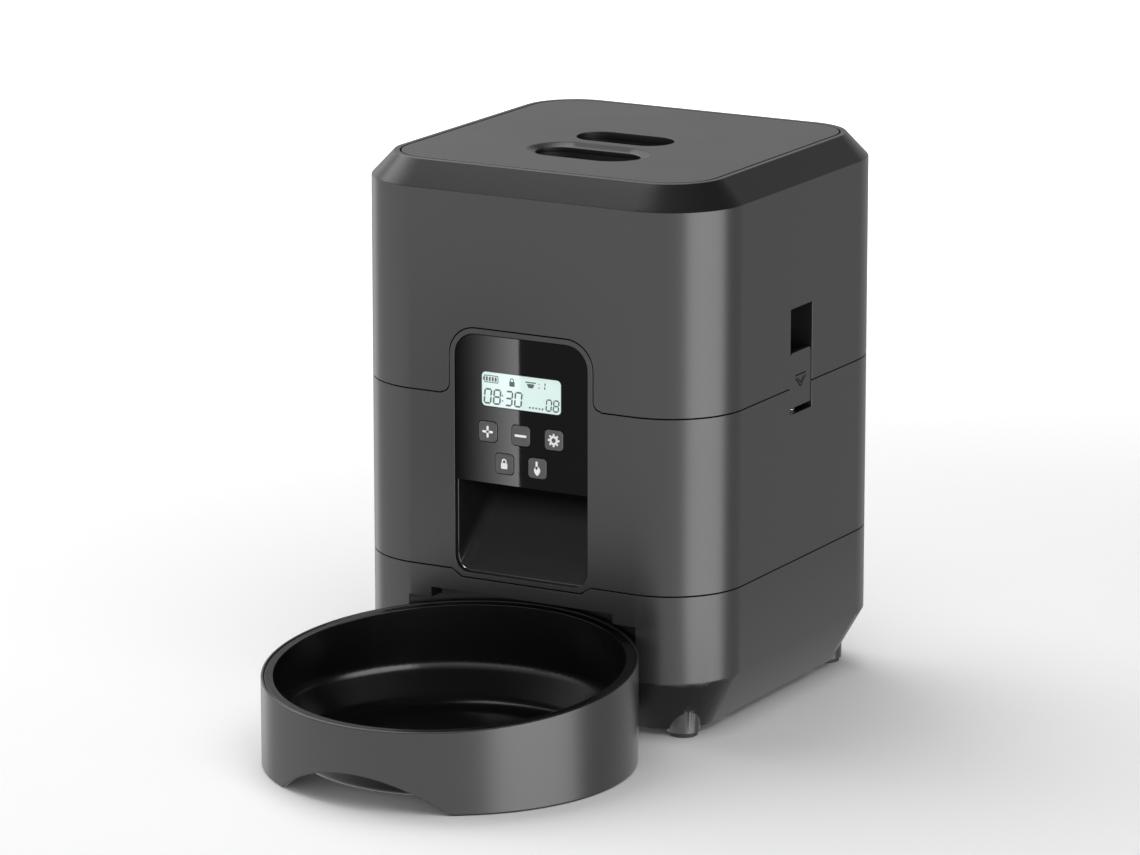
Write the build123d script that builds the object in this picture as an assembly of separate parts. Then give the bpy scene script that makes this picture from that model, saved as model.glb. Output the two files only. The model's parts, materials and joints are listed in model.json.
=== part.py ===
from build123d import *
import os
from math import acos, cos, pi, radians, sin, sqrt, tan

# Automatic pet feeder: base, middle housing, lift-off tank with its lid, and a bowl that docks in front.
# Millimetres, +Z up. Pieces are laid out about the body's centre line and moved to the origin at the end.

# ---- whole body ----
body_side = 170.0
body_height = 232.0
corner_radius = 33.0
wall = 2.6
tank_seam = 137.3
base_seam = 63.0
seam_gap = 0.4
base_underside = 3.0
base_chamfer_top = 26.2
base_chamfer_inset = 13.0
rim_chamfer_height = 10.0
rim_chamfer_inset = 9.4

half_side = body_side / 2
front_face = -half_side
front_back = front_face + wall

# ---- clearances ----
fit_gap = 0.2
slide_gap = 0.3
run_gap = 0.05
press_gap = 0.02

# ---- feet and screws ----
foot_x = half_side - 20.0
foot_y = half_side - 21.0
foot_post_radius = 6.8
foot_pad_radius = 5.9
foot_pad_height = 1.8
foot_post_top = 20.0
screw_radius = 1.5
screw_head_radius = 2.8
screw_head_height = 1.8
boss_radius = 4.0
case_screw_x = half_side - 19.0
case_screw_spread = 40.0
case_screw_centre_y = 4.0

# ---- bowl and its docking pocket ----
bowl_radius = 76.4
bowl_docking_depth = 18.6
bowl_centre_y = front_face - bowl_radius + bowl_docking_depth
bowl_wall = 3.0
bowl_rim_height = 40.35
bowl_tilt = 5.2
bowl_rim_lip = 1.2
bowl_ledge_depth = 1.9
arch_half_width = 39.0
arch_height = 14.0
dish_wall = 1.6
dish_radius = bowl_radius - bowl_wall - 2 * fit_gap
dish_floor_radius = dish_radius - 10.0
dish_floor_height = 3.0
dish_shoulder_height = 20.0
dish_bend = 9.0
pocket_gap = 2.6
pocket_wall = 2.4
pocket_height = 49.0
pocket_step_height = 53.3
pocket_step_half_width = 43.0

# ---- batteries ----
cell_radius = 17.0
cell_length = 61.5
cell_count = 3
cell_pitch = 2 * cell_radius + 0.6
contact_space = 4.6
battery_pocket_gap = 4.25
tray_wall = 1.8
door_thickness = 2.4
door_knuckle_radius = 2.0
door_back_gap = 0.8

# ---- front opening, control panel and buttons ----
opening_half_width = 31.4
opening_bottom = 62.1
opening_top = 163.5
opening_top_radius = 10.0
opening_bottom_radius = 6.5
frame_width = 2.3
frame_foot_radius = 4.0
frame_dip = 3.0
frame_dip_half_width = 28.0
frame_dip_slope = 5.0
panel_bottom = 101.2
panel_recess = 0.4
panel_thickness = 2.0
display_width = 37.5
display_height = 14.5
display_radius = 2.0
display_z = 140.9
button_size = 8.5
button_radius = 1.7
button_proud = 0.4
button_travel = 0.5
button_pitch = 15.6
button_row_high = 123.0
button_row_low = 110.2
board_half_width = 29.0
board_bottom = 105.8
board_top = 160.0
board_thickness = 1.6
board_face = front_face + 9.0
board_screw_x = 26.0
board_screw_z = (109.0, 156.5)
cover_back = front_face + 20.5
cover_wall = 1.8
cover_floor = 0.6

# ---- chute ----
chute_wall = 2.0
chute_mouth_half_width = 31.2
chute_throat_half_width = 24.0
chute_sill = 0.5
chute_rise = opening_bottom + chute_sill - front_back
chute_ceiling_bend = (cover_back + 0.5, panel_bottom + 0.6)
chute_ceiling_back = front_face + 32.5

# ---- rotor chamber and drive ----
rotor_y = front_face + 77.0
chamber_radius = 44.0
chamber_wall = 2.4
chamber_floor_thickness = 2.4
well_gap = 0.8
well_floor_top = 116.0
well_floor_thickness = 2.4
deck_drop = 2.6
deck_thickness = 2.6
outlet_inner_radius = 22.5
outlet_outer_radius = chamber_radius - 2.0
outlet_half_angle = 38.0
rotor_blade_count = 6
rotor_hub_radius = 9.0
rotor_height = 20.0
rotor_blade_radius = chamber_radius - 6.0
rotor_blade_thickness = 3.0
wiper_radius = chamber_radius - 0.6
wiper_thickness = 1.4
agitator_height = 12.0
agitator_reach = 22.0
dog_size = 8.0
shaft_radius = 4.0
gear_module = 1.0
gear_teeth = 45
pinion_teeth = 15
gear_thickness = 6.0
gear_bottom = 92.0
gearbox_bottom = 88.0
gearbox_top = 100.6
gearbox_wall = 2.0
motor_radius = 13.5
motor_length = 24.0
motor_shaft_radius = 1.5

# ---- tank and hopper ----
hopper_half_width = half_side - 14.0
hopper_front = cover_back + 3.5
hopper_back = half_side - 13.0
hopper_corner = 20.0
hopper_wall = 2.0
hopper_slope_top = 168.0
hopper_slope_bottom = 142.0
hopper_flange_top = body_height - 12.6
throat_half = half_side - 17.0
throat_radius = 16.0

# ---- lid ----
lid_half = half_side - rim_chamfer_inset - 3.1
lid_groove = 0.7
lid_thickness = 3.2
slot_half_length = 21.9
slot_radius = 10.5
back_slot_y = 3.0
front_slot_y = -29.0
front_slot_half_length = 23.5
front_slot_radius = 10.0
dish_rim_half_length = 27.4
dish_rim_radius = 15.8
dish_rim_depth = 1.3
tray_plate = 2.2
tray_half = throat_half - 4.5
tray_corner = 13.0
well_depth = 15.0
well_margin = 1.6
latch_travel = 4.0
latch_plate_thickness = 2.0
desiccant_y = 40.0
desiccant_radius = 22.0
desiccant_depth = 12.0

# ---- side latches ----
latch_half_width = 9.3
latch_bottom = 128.3
latch_top = 151.8
latch_thickness = 2.6
latch_pocket_bottom = 125.9
latch_pocket_top = 170.5
latch_pocket_depth = 11.0
latch_drop = 2.0

# ---- power inlet ----
inlet_x = 45.0
inlet_z = 50.0
inlet_size = 11.0
inlet_depth = 12.0
inlet_bore_radius = 3.15
inlet_bore_depth = 9.5
inlet_pin_radius = 1.0

origin_shift = (bowl_radius - bowl_centre_y - half_side) / 2
well_floor_bottom = well_floor_top - well_floor_thickness
chamber_floor_top = well_floor_top + chamber_floor_thickness
gear_radius = gear_teeth * gear_module / 2
pinion_radius = pinion_teeth * gear_module / 2
gear_mesh_gap = 0.1
motor_y = rotor_y + gear_radius + pinion_radius + gear_mesh_gap
lid_bottom = body_height - lid_thickness
tray_bottom = lid_bottom - tray_plate


# ---- shapes used by many pieces ----
def column(half_x, half_y, radius, bottom, top):
    """Upright block with rounded vertical corners, centred on the body's axis."""
    sketch = RectangleRounded(2 * half_x, 2 * half_y, radius)
    return extrude(Pos(0, 0, bottom) * sketch, top - bottom)


def tapered(half_low, radius_low, bottom, half_high, radius_high, top):
    """Upright frustum between two rounded squares."""
    low = Pos(0, 0, bottom) * RectangleRounded(2 * half_low, 2 * half_low, radius_low)
    high = Pos(0, 0, top) * RectangleRounded(2 * half_high, 2 * half_high, radius_high)
    return loft([low, high], ruled=True)


def block(x_low, x_high, y_low, y_high, z_low, z_high):
    """Plain box between two corners."""
    size = (x_high - x_low, y_high - y_low, z_high - z_low)
    return Pos(x_low, y_low, z_low) * Box(*size, align=(Align.MIN, Align.MIN, Align.MIN))


def rod(x, y, radius, bottom, top):
    """Upright cylinder."""
    base = (Align.CENTER, Align.CENTER, Align.MIN)
    return Pos(x, y, bottom) * Cylinder(radius, top - bottom, align=base)


def rod_y(x, z, radius, y_low, y_high):
    """Cylinder along Y."""
    base = (Align.CENTER, Align.CENTER, Align.MIN)
    return Pos(x, y_high, z) * Rot(90, 0, 0) * Cylinder(radius, y_high - y_low, align=base)


def rod_x(y, z, radius, x_low, x_high):
    """Cylinder along X."""
    base = (Align.CENTER, Align.CENTER, Align.MIN)
    return Pos(x_low, y, z) * Rot(0, 90, 0) * Cylinder(radius, x_high - x_low, align=base)


def front_prism(sketch, y_low, y_high):
    """Sketch drawn in X and Z, extruded along Y between two depths."""
    plane = Plane(origin=(0, y_high, 0), x_dir=(1, 0, 0), z_dir=(0, -1, 0))
    return extrude(plane * sketch, y_high - y_low)


def side_prism(sketch, x_low, x_high):
    """Sketch drawn in Y and Z, extruded along X between two distances."""
    plane = Plane(origin=(x_low, 0, 0), x_dir=(0, 1, 0), z_dir=(1, 0, 0))
    return extrude(plane * sketch, x_high - x_low)


def stadium(half_length, radius, y, bottom, top):
    """Upright block with the outline of a slot that lies along X."""
    sketch = SlotOverall(2 * half_length, 2 * radius)
    return extrude(Pos(0, y, bottom) * sketch, top - bottom)


def screw_up(x, y, head_z, length):
    """Screw that enters upwards, with its head below."""
    head = rod(x, y, screw_head_radius, head_z - screw_head_height, head_z)
    return head + rod(x, y, screw_radius, head_z, head_z + length)


def corners(half_x, half_y, centre_y=0.0):
    """Four points of a rectangle."""
    return [(sx * half_x, centre_y + sy * half_y) for sx in (-1, 1) for sy in (-1, 1)]


def half_space_above(height, offset=0.0):
    """Block above the bowl's tilted rim plane, moved by offset along Z."""
    base = (Align.CENTER, Align.CENTER, Align.MIN)
    place = Pos(0, bowl_centre_y, height + offset) * Rot(bowl_tilt, 0, 0)
    return place * Box(4 * bowl_radius, 4 * bowl_radius, 2 * bowl_radius, align=base)


def opening_outline(grow, bottom, top):
    """Front opening's outline, grown by a margin, between two heights."""
    half = opening_half_width + grow
    width_block = Pos(0, (bottom + top) / 2) * Rectangle(2 * half, top - bottom)
    rounded = width_block.vertices().group_by(Axis.Y)
    outline = fillet(rounded[-1], opening_top_radius + grow)
    return fillet(outline.vertices().group_by(Axis.Y)[0], opening_bottom_radius)


def tab_outline(grow, bottom, top):
    """Frame round the control panel where it stands up into the tank, with flared feet at the seam."""
    half = opening_half_width + frame_width + grow
    tab = Pos(0, (bottom + top) / 2) * Rectangle(2 * half, top - bottom)
    tab = fillet(tab.vertices().group_by(Axis.Y)[-1], opening_top_radius + frame_width + grow)
    centre_x = opening_half_width + frame_width + frame_foot_radius
    centre_z = tank_seam + frame_foot_radius
    for side in (-1, 1):
        foot_top = centre_z - bottom
        foot = Pos(side * (half + centre_x) / 2, (bottom + centre_z) / 2)
        foot = foot * Rectangle(centre_x - half + 0.2, foot_top)
        foot = Pos(-side * 0.1, 0) * foot
        tab += foot - Pos(side * centre_x, centre_z) * Circle(frame_foot_radius - grow)
    return tab


def dip_outline(grow, top):
    """Low tongue of the frame below the base seam, between slanted ends."""
    low = base_seam - frame_dip - grow
    high_half = frame_dip_half_width + frame_dip_slope + grow
    low_half = frame_dip_half_width + grow
    points = [(-high_half, base_seam), (-low_half, low), (low_half, low), (high_half, base_seam)]
    points += [(high_half, top), (-high_half, top), (-high_half, base_seam)]
    return make_face(Polyline(*points))


# ---- base ----
pocket_radius = bowl_radius + pocket_gap
cell_row_half = cell_pitch * (cell_count - 1) / 2 + cell_radius
bay_half_x = cell_row_half + 2.0
bay_half_y = cell_length / 2 + contact_space
pocket_back = bowl_centre_y + pocket_radius + pocket_wall
bay_front = pocket_back + battery_pocket_gap + tray_wall
bay_back = bay_front + 2 * bay_half_y
battery_centre_y = bay_front + bay_half_y
hinge_y = bay_back + tray_wall + door_knuckle_radius + slide_gap
tray_bottom_z = base_underside + door_thickness
tray_top_z = tray_bottom_z + 2 * cell_radius + 1.6
case_screw_points = corners(case_screw_x, case_screw_spread, case_screw_centre_y)


def make_base_housing():
    """Lower shell with chamfered foot, docking pocket, battery bay mouth and screw bosses."""
    chamfer_half = half_side - base_chamfer_inset
    chamfer_radius = corner_radius - base_chamfer_inset
    outer = tapered(chamfer_half, chamfer_radius, base_underside, half_side, corner_radius, base_chamfer_top)
    outer += column(half_side, half_side, corner_radius, base_chamfer_top, base_seam - seam_gap)
    hollow = tapered(chamfer_half - wall, chamfer_radius - wall, base_underside + door_thickness,
                     half_side - wall, corner_radius - wall, base_chamfer_top)
    hollow += column(half_side - wall, half_side - wall, corner_radius - wall, base_chamfer_top,
                     base_seam + 1)
    shell = outer - hollow
    for x, y in corners(foot_x, foot_y):
        shell += rod(x, y, foot_post_radius, foot_pad_height, foot_post_top)
    for x, y in case_screw_points:
        shell += rod(x, y, boss_radius, base_underside, base_seam - seam_gap)
    pocket_skin = rod(0, bowl_centre_y, pocket_radius + pocket_wall, 0, pocket_height + pocket_wall)
    step_skin = rod(0, bowl_centre_y, pocket_radius + pocket_wall, 0, pocket_step_height + pocket_wall)
    step_half = pocket_step_half_width + pocket_wall
    step_skin &= block(-step_half, step_half, -2 * body_side, 0, 0, base_seam)
    shell += (pocket_skin + step_skin) & outer
    pocket = rod(0, bowl_centre_y, pocket_radius, 0, pocket_height)
    step = rod(0, bowl_centre_y, pocket_radius, 0, pocket_step_height)
    step &= block(-pocket_step_half_width, pocket_step_half_width, -2 * body_side, 0, 0, base_seam)
    shell -= pocket + step
    shell -= front_prism(dip_outline(seam_gap, base_seam + 5), front_face - 1, front_back + 1)
    bay = block(-bay_half_x, bay_half_x, bay_front, bay_back, 0, tray_bottom_z + 1)
    shell -= bay
    for x in (-bay_half_x / 2, bay_half_x / 2):
        shell -= block(x - 9.6, x + 9.6, bay_back - 1, hinge_y + door_knuckle_radius + 1.0, 0,
                       tray_bottom_z + 1)
    hole = inlet_size / 2 + fit_gap
    shell -= block(inlet_x - hole, inlet_x + hole, half_side - wall - 1, half_side + 1,
                   inlet_z - hole, inlet_z + hole)
    for x, y in case_screw_points:
        shell -= rod(x, y, screw_radius + fit_gap, 0, base_seam + 1)
        shell -= rod(x, y, screw_head_radius + fit_gap, 0, base_underside + screw_head_height + 1)
    return shell


def make_foot_pads():
    """Four rubber pads under the foot posts."""
    return [rod(x, y, foot_pad_radius, 0, foot_pad_height) for x, y in corners(foot_x, foot_y)]


def make_battery_tray():
    """Inverted box over the cells, open below, with low dividers between them."""
    half_x = bay_half_x
    tray = block(-half_x - tray_wall, half_x + tray_wall, bay_front - tray_wall, bay_back + tray_wall,
                 tray_bottom_z + 0.2, tray_top_z + tray_wall)
    tray -= block(-half_x, half_x, bay_front, bay_back, 0, tray_top_z)
    saddle = block(-half_x, half_x, battery_centre_y - 12, battery_centre_y + 12,
                   tray_top_z - cell_radius / 2, tray_top_z + 1)
    for index in range(cell_count):
        x = cell_pitch * (index - (cell_count - 1) / 2)
        saddle -= rod_y(x, tray_bottom_z + 0.4 + cell_radius, cell_radius + 0.3,
                        bay_front, bay_back)
    return tray + saddle


def make_battery_cells():
    """Three cylindrical cells side by side, each with its raised terminal."""
    cells = []
    axis_z = tray_bottom_z + 0.4 + cell_radius
    for index in range(cell_count):
        x = cell_pitch * (index - (cell_count - 1) / 2)
        turn = 1 if index % 2 == 0 else -1
        low = battery_centre_y - cell_length / 2
        high = battery_centre_y + cell_length / 2
        if turn > 0:
            cell = rod_y(x, axis_z, cell_radius, low, high - 1.5) + rod_y(x, axis_z, 4.5, high - 1.5, high)
        else:
            cell = rod_y(x, axis_z, cell_radius, low + 1.5, high) + rod_y(x, axis_z, 4.5, low, low + 1.5)
        cells.append(cell)
    return cells


def make_battery_contacts():
    """Metal plates at both ends of the cells."""
    axis_z = tray_bottom_z + 0.4 + cell_radius
    plates = []
    for index in range(cell_count):
        x = cell_pitch * (index - (cell_count - 1) / 2)
        for y in (bay_front, bay_back - 0.6):
            plates.append(block(x - 11, x + 11, y, y + 0.6, axis_z - 11, axis_z + 11))
    return plates


def make_battery_springs():
    """Conical contact springs, each as three stacked wire rings joined by a short riser."""
    axis_z = tray_bottom_z + 0.4 + cell_radius
    springs = []
    for index in range(cell_count):
        x = cell_pitch * (index - (cell_count - 1) / 2)
        forward = index % 2 == 0
        start = bay_front + 0.6 if forward else bay_back - 0.6
        step = 1 if forward else -1
        spring = None
        for turn, radius in enumerate((7.0, 5.5, 4.0)):
            low = start + step * turn * 1.2
            high = low + step * 1.2
            ring = rod_y(x, axis_z, radius, min(low, high), max(low, high))
            ring -= rod_y(x, axis_z, radius - 1.7, min(low, high) - 1, max(low, high) + 1)
            spring = ring if spring is None else spring + ring
        springs.append(spring)
    return springs


def make_battery_door():
    """Cover under the cells, hinged along its back edge, with a finger scoop in front."""
    half_x = bay_half_x - slide_gap
    door = block(-half_x, half_x, bay_front + slide_gap, bay_back - door_back_gap, base_underside,
                 base_underside + door_thickness - 0.2)
    hinge_z = base_underside + door_knuckle_radius
    for x in (-bay_half_x / 2, bay_half_x / 2):
        knuckle = rod_x(hinge_y, hinge_z, door_knuckle_radius - 0.2, x - 6, x + 6)
        arm = block(x - 6, x + 6, bay_back - 1, hinge_y, base_underside + 0.4,
                    base_underside + 1.8)
        door += knuckle + arm
        door -= rod_x(hinge_y, hinge_z, 0.8 + run_gap, x - 7, x + 7)
    scoop = rod_x(bay_front + 8, base_underside - 3.0, 4.2, -8, 8)
    return door - scoop


def make_door_pins():
    """Steel pins that carry the battery door, held in small lugs beside each knuckle."""
    pins = []
    hinge_z = base_underside + door_knuckle_radius
    for x in (-bay_half_x / 2, bay_half_x / 2):
        pins.append(rod_x(hinge_y, hinge_z, 0.8, x - 9, x + 9))
    return pins


def make_pin_lugs():
    """Lugs that hold the door pins; they hang from the base floor behind the bay."""
    lugs = None
    hinge_z = base_underside + door_knuckle_radius
    for x in (-bay_half_x / 2, bay_half_x / 2):
        for side in (-1, 1):
            near = x + side * 6.4
            far = x + side * 10.0
            lug = block(min(near, far), max(near, far), hinge_y - 1.6, hinge_y + 2.8, base_underside,
                        base_underside + 2 * door_knuckle_radius)
            lug -= rod_x(hinge_y, hinge_z, 0.8, min(near, far) - 1, max(near, far) + 1)
            lugs = lug if lugs is None else lugs + lug
    return lugs


def make_power_inlet():
    """Round direct-current socket in the back wall."""
    half = inlet_size / 2
    body = block(inlet_x - half, inlet_x + half, half_side - inlet_depth, half_side - 0.3,
                 inlet_z - half, inlet_z + half)
    body += block(inlet_x - half - 2, inlet_x + half + 2, half_side - wall - 1.6, half_side - wall - 0.1,
                  inlet_z - half - 2, inlet_z + half + 2)
    body -= rod_y(inlet_x, inlet_z, inlet_bore_radius, half_side - inlet_bore_depth, half_side + 1)
    return body + rod_y(inlet_x, inlet_z, inlet_pin_radius, half_side - inlet_bore_depth - 1,
                        half_side - 2.0)


def make_case_screws():
    """Four screws that join the base to the middle housing."""
    return [screw_up(x, y, base_underside + screw_head_height + 1, base_seam - base_underside + 6)
            for x, y in case_screw_points]


# ---- middle housing ----
def latch_pocket(side, bottom, top, grow):
    """Block of the latch recess on one side wall, from a depth inside to past the wall."""
    low = half_side - latch_pocket_depth - grow
    high = half_side + (1.0 if grow == 0 else 0.0)
    half = latch_half_width + slide_gap + grow
    x_low, x_high = (low, high) if side > 0 else (-high, -low)
    return block(x_low, x_high, -half, half, bottom, top)


def outlet_sector(bottom, top, grow=0.0):
    """Fan-shaped drop hole in front of the rotor's axis."""
    fan = rod(0, rotor_y, outlet_outer_radius + grow, bottom, top)
    fan -= rod(0, rotor_y, outlet_inner_radius - grow, bottom - 1, top + 1)
    reach = 3 * outlet_outer_radius
    spread = reach * tan(radians(outlet_half_angle))
    wedge = make_face(Polyline((0, rotor_y), (-spread, rotor_y - reach), (spread, rotor_y - reach),
                               (0, rotor_y)))
    return fan & extrude(Pos(0, 0, bottom) * wedge, top - bottom)


def make_middle_housing():
    """Middle shell: outer wall, raised front frame, deck, rotor well and latch pockets."""
    top = tank_seam - seam_gap
    shell = column(half_side, half_side, corner_radius, base_seam, top)
    inner_half = half_side - wall
    inner = column(inner_half, inner_half, corner_radius - wall, base_seam - 1, top + 1)
    shell -= inner
    tab = tab_outline(0.0, base_seam + 1, opening_top + frame_width)
    shell += front_prism(tab, front_face, front_back)
    shell += front_prism(dip_outline(0.0, base_seam + 5), front_face, front_back)
    deck_top = top - deck_drop
    shell += column(inner_half + 0.1, inner_half + 0.1, corner_radius - wall, deck_top - deck_thickness,
                    deck_top)
    well_radius = chamber_radius + chamber_wall + well_gap
    shell += rod(0, rotor_y, well_radius + wall, well_floor_bottom, deck_top)
    for side in (-1, 1):
        shell += latch_pocket(side, latch_pocket_bottom - 2, top, 2.0)
    for x, y in case_screw_points:
        shell += rod(x, y, boss_radius, base_seam + seam_gap, deck_top - 1)
    for x, y in gearbox_screw_points:
        shell += rod(x, y, boss_radius, gearbox_top + wall, well_floor_bottom + 1)
    shell -= rod(0, rotor_y, well_radius, well_floor_top, deck_top + 1)
    shell -= outlet_sector(well_floor_bottom - 1, well_floor_top + 1, 0.5)
    shell -= rod(0, rotor_y, bushing_radius, well_floor_bottom - 5, well_floor_top + 1)
    for side in (-1, 1):
        shell -= latch_pocket(side, latch_pocket_bottom, top + 1, 0)
    for x, y in case_screw_points:
        shell -= rod(x, y, screw_radius, base_seam, base_seam + 12)
    for x, y in gearbox_screw_points:
        shell -= rod(x, y, screw_radius, gearbox_top + wall - 1, well_floor_bottom - 0.5)
    cover_half = opening_half_width + frame_width - 0.1
    shell -= block(-cover_half, cover_half, front_back, cover_back + fit_gap, chute_ceiling_bend[1] + 2,
                   deck_top + 1)
    opening = opening_outline(0.0, opening_bottom, opening_top)
    shell -= front_prism(opening, front_face - 1, front_back)
    return shell


bushing_radius = shaft_radius + 2.4
gearbox_front_screws = (27.0, rotor_y - 12.0)
gearbox_back_screws = (18.5, rotor_y + 21.0)
gearbox_screw_points = [(side * x, y) for x, y in (gearbox_front_screws, gearbox_back_screws)
                        for side in (1, -1)]
gearbox_outline_radius = gear_radius + gear_module + 1.6 + gearbox_wall


def make_shaft_bushing():
    """Plain bearing where the drive shaft passes the well's floor."""
    bushing = rod(0, rotor_y, bushing_radius, well_floor_bottom - 2, well_floor_top - 0.4)
    return bushing - rod(0, rotor_y, shaft_radius + run_gap, well_floor_bottom - 3, well_floor_top + 1)


def make_chute():
    """Gloss funnel from the drop hole down a 45 degree ramp to the front opening."""
    def profile(grow, y_front):
        back_y = well_floor_bottom - chute_rise
        bend_y, bend_z = chute_ceiling_bend
        points = [(y_front, y_front + chute_rise - 1.4 * grow)]
        points += [(back_y + 1.4 * grow, well_floor_bottom)]
        points += [(chute_ceiling_back - grow, well_floor_bottom)]
        points += [(bend_y - 0.4 * grow, bend_z + grow), (y_front, panel_bottom + grow)]
        points += [points[0]]
        return make_face(Polyline(*points))

    def plan(grow, y_front):
        back_y = well_floor_bottom - chute_rise + 10
        taper = (chute_mouth_half_width - chute_throat_half_width) / (back_y - front_back)
        front_half = chute_mouth_half_width + grow + taper * (front_back - y_front)
        back_half = chute_throat_half_width + grow
        points = [(-front_half, y_front), (front_half, y_front), (back_half, back_y), (-back_half, back_y)]
        return make_face(Polyline(*points, points[0]))

    height = body_height
    outer = side_prism(profile(chute_wall, front_back), -half_side, half_side)
    outer &= extrude(plan(chute_wall, front_back), height)
    inner = side_prism(profile(0.0, front_back - 1), -half_side, half_side)
    inner &= extrude(plan(0.0, front_back - 1), height)
    lip = block(-chute_throat_half_width, chute_throat_half_width, chute_ceiling_back,
                well_floor_bottom - chute_rise, well_floor_bottom - 1, well_floor_bottom + 1)
    floor_edges = inner.edges().filter_by(lambda e: on_ramp(e))
    inner = fillet(floor_edges, 5.0)
    return outer - inner - lip


def on_ramp(edge):
    """True for the two long edges where the chute's side walls meet its ramp."""
    middle = edge.position_at(0.5)
    on_floor = abs(middle.Z - middle.Y - chute_rise) < 0.2
    return on_floor and abs(middle.X) > 5 and edge.length > 20


def make_electronics_cover():
    """Box behind the control panel that keeps food and dust off the board."""
    half = opening_half_width + frame_width - 0.3
    bottom = chute_ceiling_bend[1] + chute_wall + 2 * fit_gap
    top = opening_top + frame_width - 0.3
    cover = block(-half, half, front_back, cover_back, bottom, top)
    return cover - block(-half + cover_wall, half - cover_wall, front_back - 1, cover_back - cover_wall,
                         bottom + cover_floor, top - cover_wall)


# ---- control panel ----
button_places = {
    "button_plus": (-button_pitch, button_row_high),
    "button_minus": (0.0, button_row_high),
    "button_set": (button_pitch, button_row_high),
    "button_lock": (-button_pitch / 2, button_row_low),
    "button_feed": (button_pitch / 2, button_row_low),
}
panel_front = front_face + panel_recess
panel_back = panel_front + panel_thickness
board_screw_points = [(sx * board_screw_x, z) for sx in (-1, 1) for z in board_screw_z]


def make_control_panel():
    """Gloss fascia with the display window, five button holes and four posts for the board."""
    outline = opening_outline(-fit_gap, opening_bottom, opening_top - fit_gap)
    panel = front_prism(outline, panel_front, panel_back)
    panel &= block(-half_side, half_side, -body_side, 0, panel_bottom, body_height)
    window = Pos(0, display_z) * RectangleRounded(display_width, display_height, display_radius)
    panel -= front_prism(window, panel_front - 1, panel_back + 1)
    hole = button_size + 2 * fit_gap
    for x, z in button_places.values():
        panel -= front_prism(Pos(x, z) * RectangleRounded(hole, hole, button_radius + fit_gap),
                             panel_front - 1, panel_back + 1)
    for x, z in board_screw_points:
        panel += rod_y(x, z, 2.6, panel_back, board_face)
        panel -= rod_y(x, z, screw_radius - 0.4, board_face - 4.5, board_face + 1)
    return panel


def make_button(x, z):
    """Push button: cap through the panel, flange behind it and a stem toward its switch."""
    cap = front_prism(Pos(x, z) * RectangleRounded(button_size, button_size, button_radius),
                      panel_front - button_proud, panel_back)
    flange = button_size + 1.4
    button = cap + front_prism(Pos(x, z) * RectangleRounded(flange, flange, button_radius),
                               panel_back, panel_back + 0.9)
    return button + rod_y(x, z, 1.8, panel_back + 0.9, switch_tip - button_travel - slide_gap)


switch_tip = board_face - 2.9


def make_tact_switches():
    """Five push switches on the board, one behind each button."""
    switches = []
    for x, z in button_places.values():
        body = block(x - 2.6, x + 2.6, board_face - 2.2, board_face, z - 2.6, z + 2.6)
        switches.append(body + rod_y(x, z, 1.4, switch_tip, board_face - 2.2))
    return switches


def make_display_glass():
    """Display face that fills the panel's window."""
    face = Pos(0, display_z) * RectangleRounded(display_width - fit_gap, display_height - fit_gap,
                                                display_radius - fit_gap / 2)
    return front_prism(face, panel_front + 0.3, panel_back)


def make_display_module():
    """Display body behind the glass, standing on the board with four legs."""
    body = block(-22, 22, panel_back + 0.05, board_face - 1.8, display_z - 9.2, display_z + 9.2)
    for x in (-20, 20):
        for z in (display_z - 7.6, display_z + 7.6):
            body += rod_y(x, z, 1.0, board_face - 1.9, board_face)
    return body


def make_main_board():
    """Printed board carrying the display, switches and driver parts."""
    board = block(-board_half_width, board_half_width, board_face, board_face + board_thickness,
                  board_bottom, board_top)
    for x, z in board_screw_points:
        board -= rod_y(x, z, screw_radius + fit_gap, board_face - 1, board_face + board_thickness + 1)
    return board


def make_board_components():
    """Controller chip, capacitor, connector and coin cell holder on the back of the board."""
    back = board_face + board_thickness
    chip = block(-6, 6, back, back + 1.6, 128, 140)
    connector = block(8, 20, back, back + 5.5, 112, 118)
    buzzer = rod_y(-14, 118, 5.0, back, back + 5.0)
    capacitor = rod_y(15, 132, 3.2, back, back + 7.5)
    return [chip, connector, buzzer, capacitor]


def make_board_screws():
    """Four screws through the board into the panel's posts."""
    back = board_face + board_thickness
    screws = []
    for x, z in board_screw_points:
        head = rod_y(x, z, 2.4, back, back + 1.4)
        screws.append(head + rod_y(x, z, screw_radius - 0.4, board_face - 4.0, back))
    return screws


# ---- drive ----
def gear_outline(teeth, turn):
    """Stub involute gear outline with a little backlash, turned by an angle in degrees."""
    pitch_radius = teeth * gear_module / 2
    base_radius = pitch_radius * cos(radians(20))
    tip = pitch_radius + 0.8 * gear_module
    root = pitch_radius - 1.05 * gear_module
    backlash = 0.12
    involute = tan(radians(20)) - radians(20)
    half_tooth = pi / (2 * teeth) - backlash / (2 * pitch_radius)
    steps = 4
    points = []
    for tooth in range(teeth):
        centre = radians(turn) + 2 * pi * tooth / teeth
        flank = []
        for step in range(steps + 1):
            start = max(root, base_radius)
            radius = start + (tip - start) * step / steps
            pressure = acos(min(1.0, base_radius / radius))
            flank.append((radius, half_tooth + involute - (tan(pressure) - pressure)))
        if root < base_radius:
            flank.insert(0, (root, flank[0][1]))
        for radius, half in flank:
            points.append((radius * cos(centre - half), radius * sin(centre - half)))
        for radius, half in reversed(flank):
            points.append((radius * cos(centre + half), radius * sin(centre + half)))
    return make_face(Polyline(*points, points[0]))


def make_drive_gear():
    """Large gear on the drive shaft."""
    gear = extrude(Pos(0, rotor_y, gear_bottom) * gear_outline(gear_teeth, 90), gear_thickness)
    gear += rod(0, rotor_y, shaft_radius + 3, gear_bottom - 1.4, gear_bottom + gear_thickness + 1.4)
    return gear - rod(0, rotor_y, shaft_radius + press_gap, 0, body_height)


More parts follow.
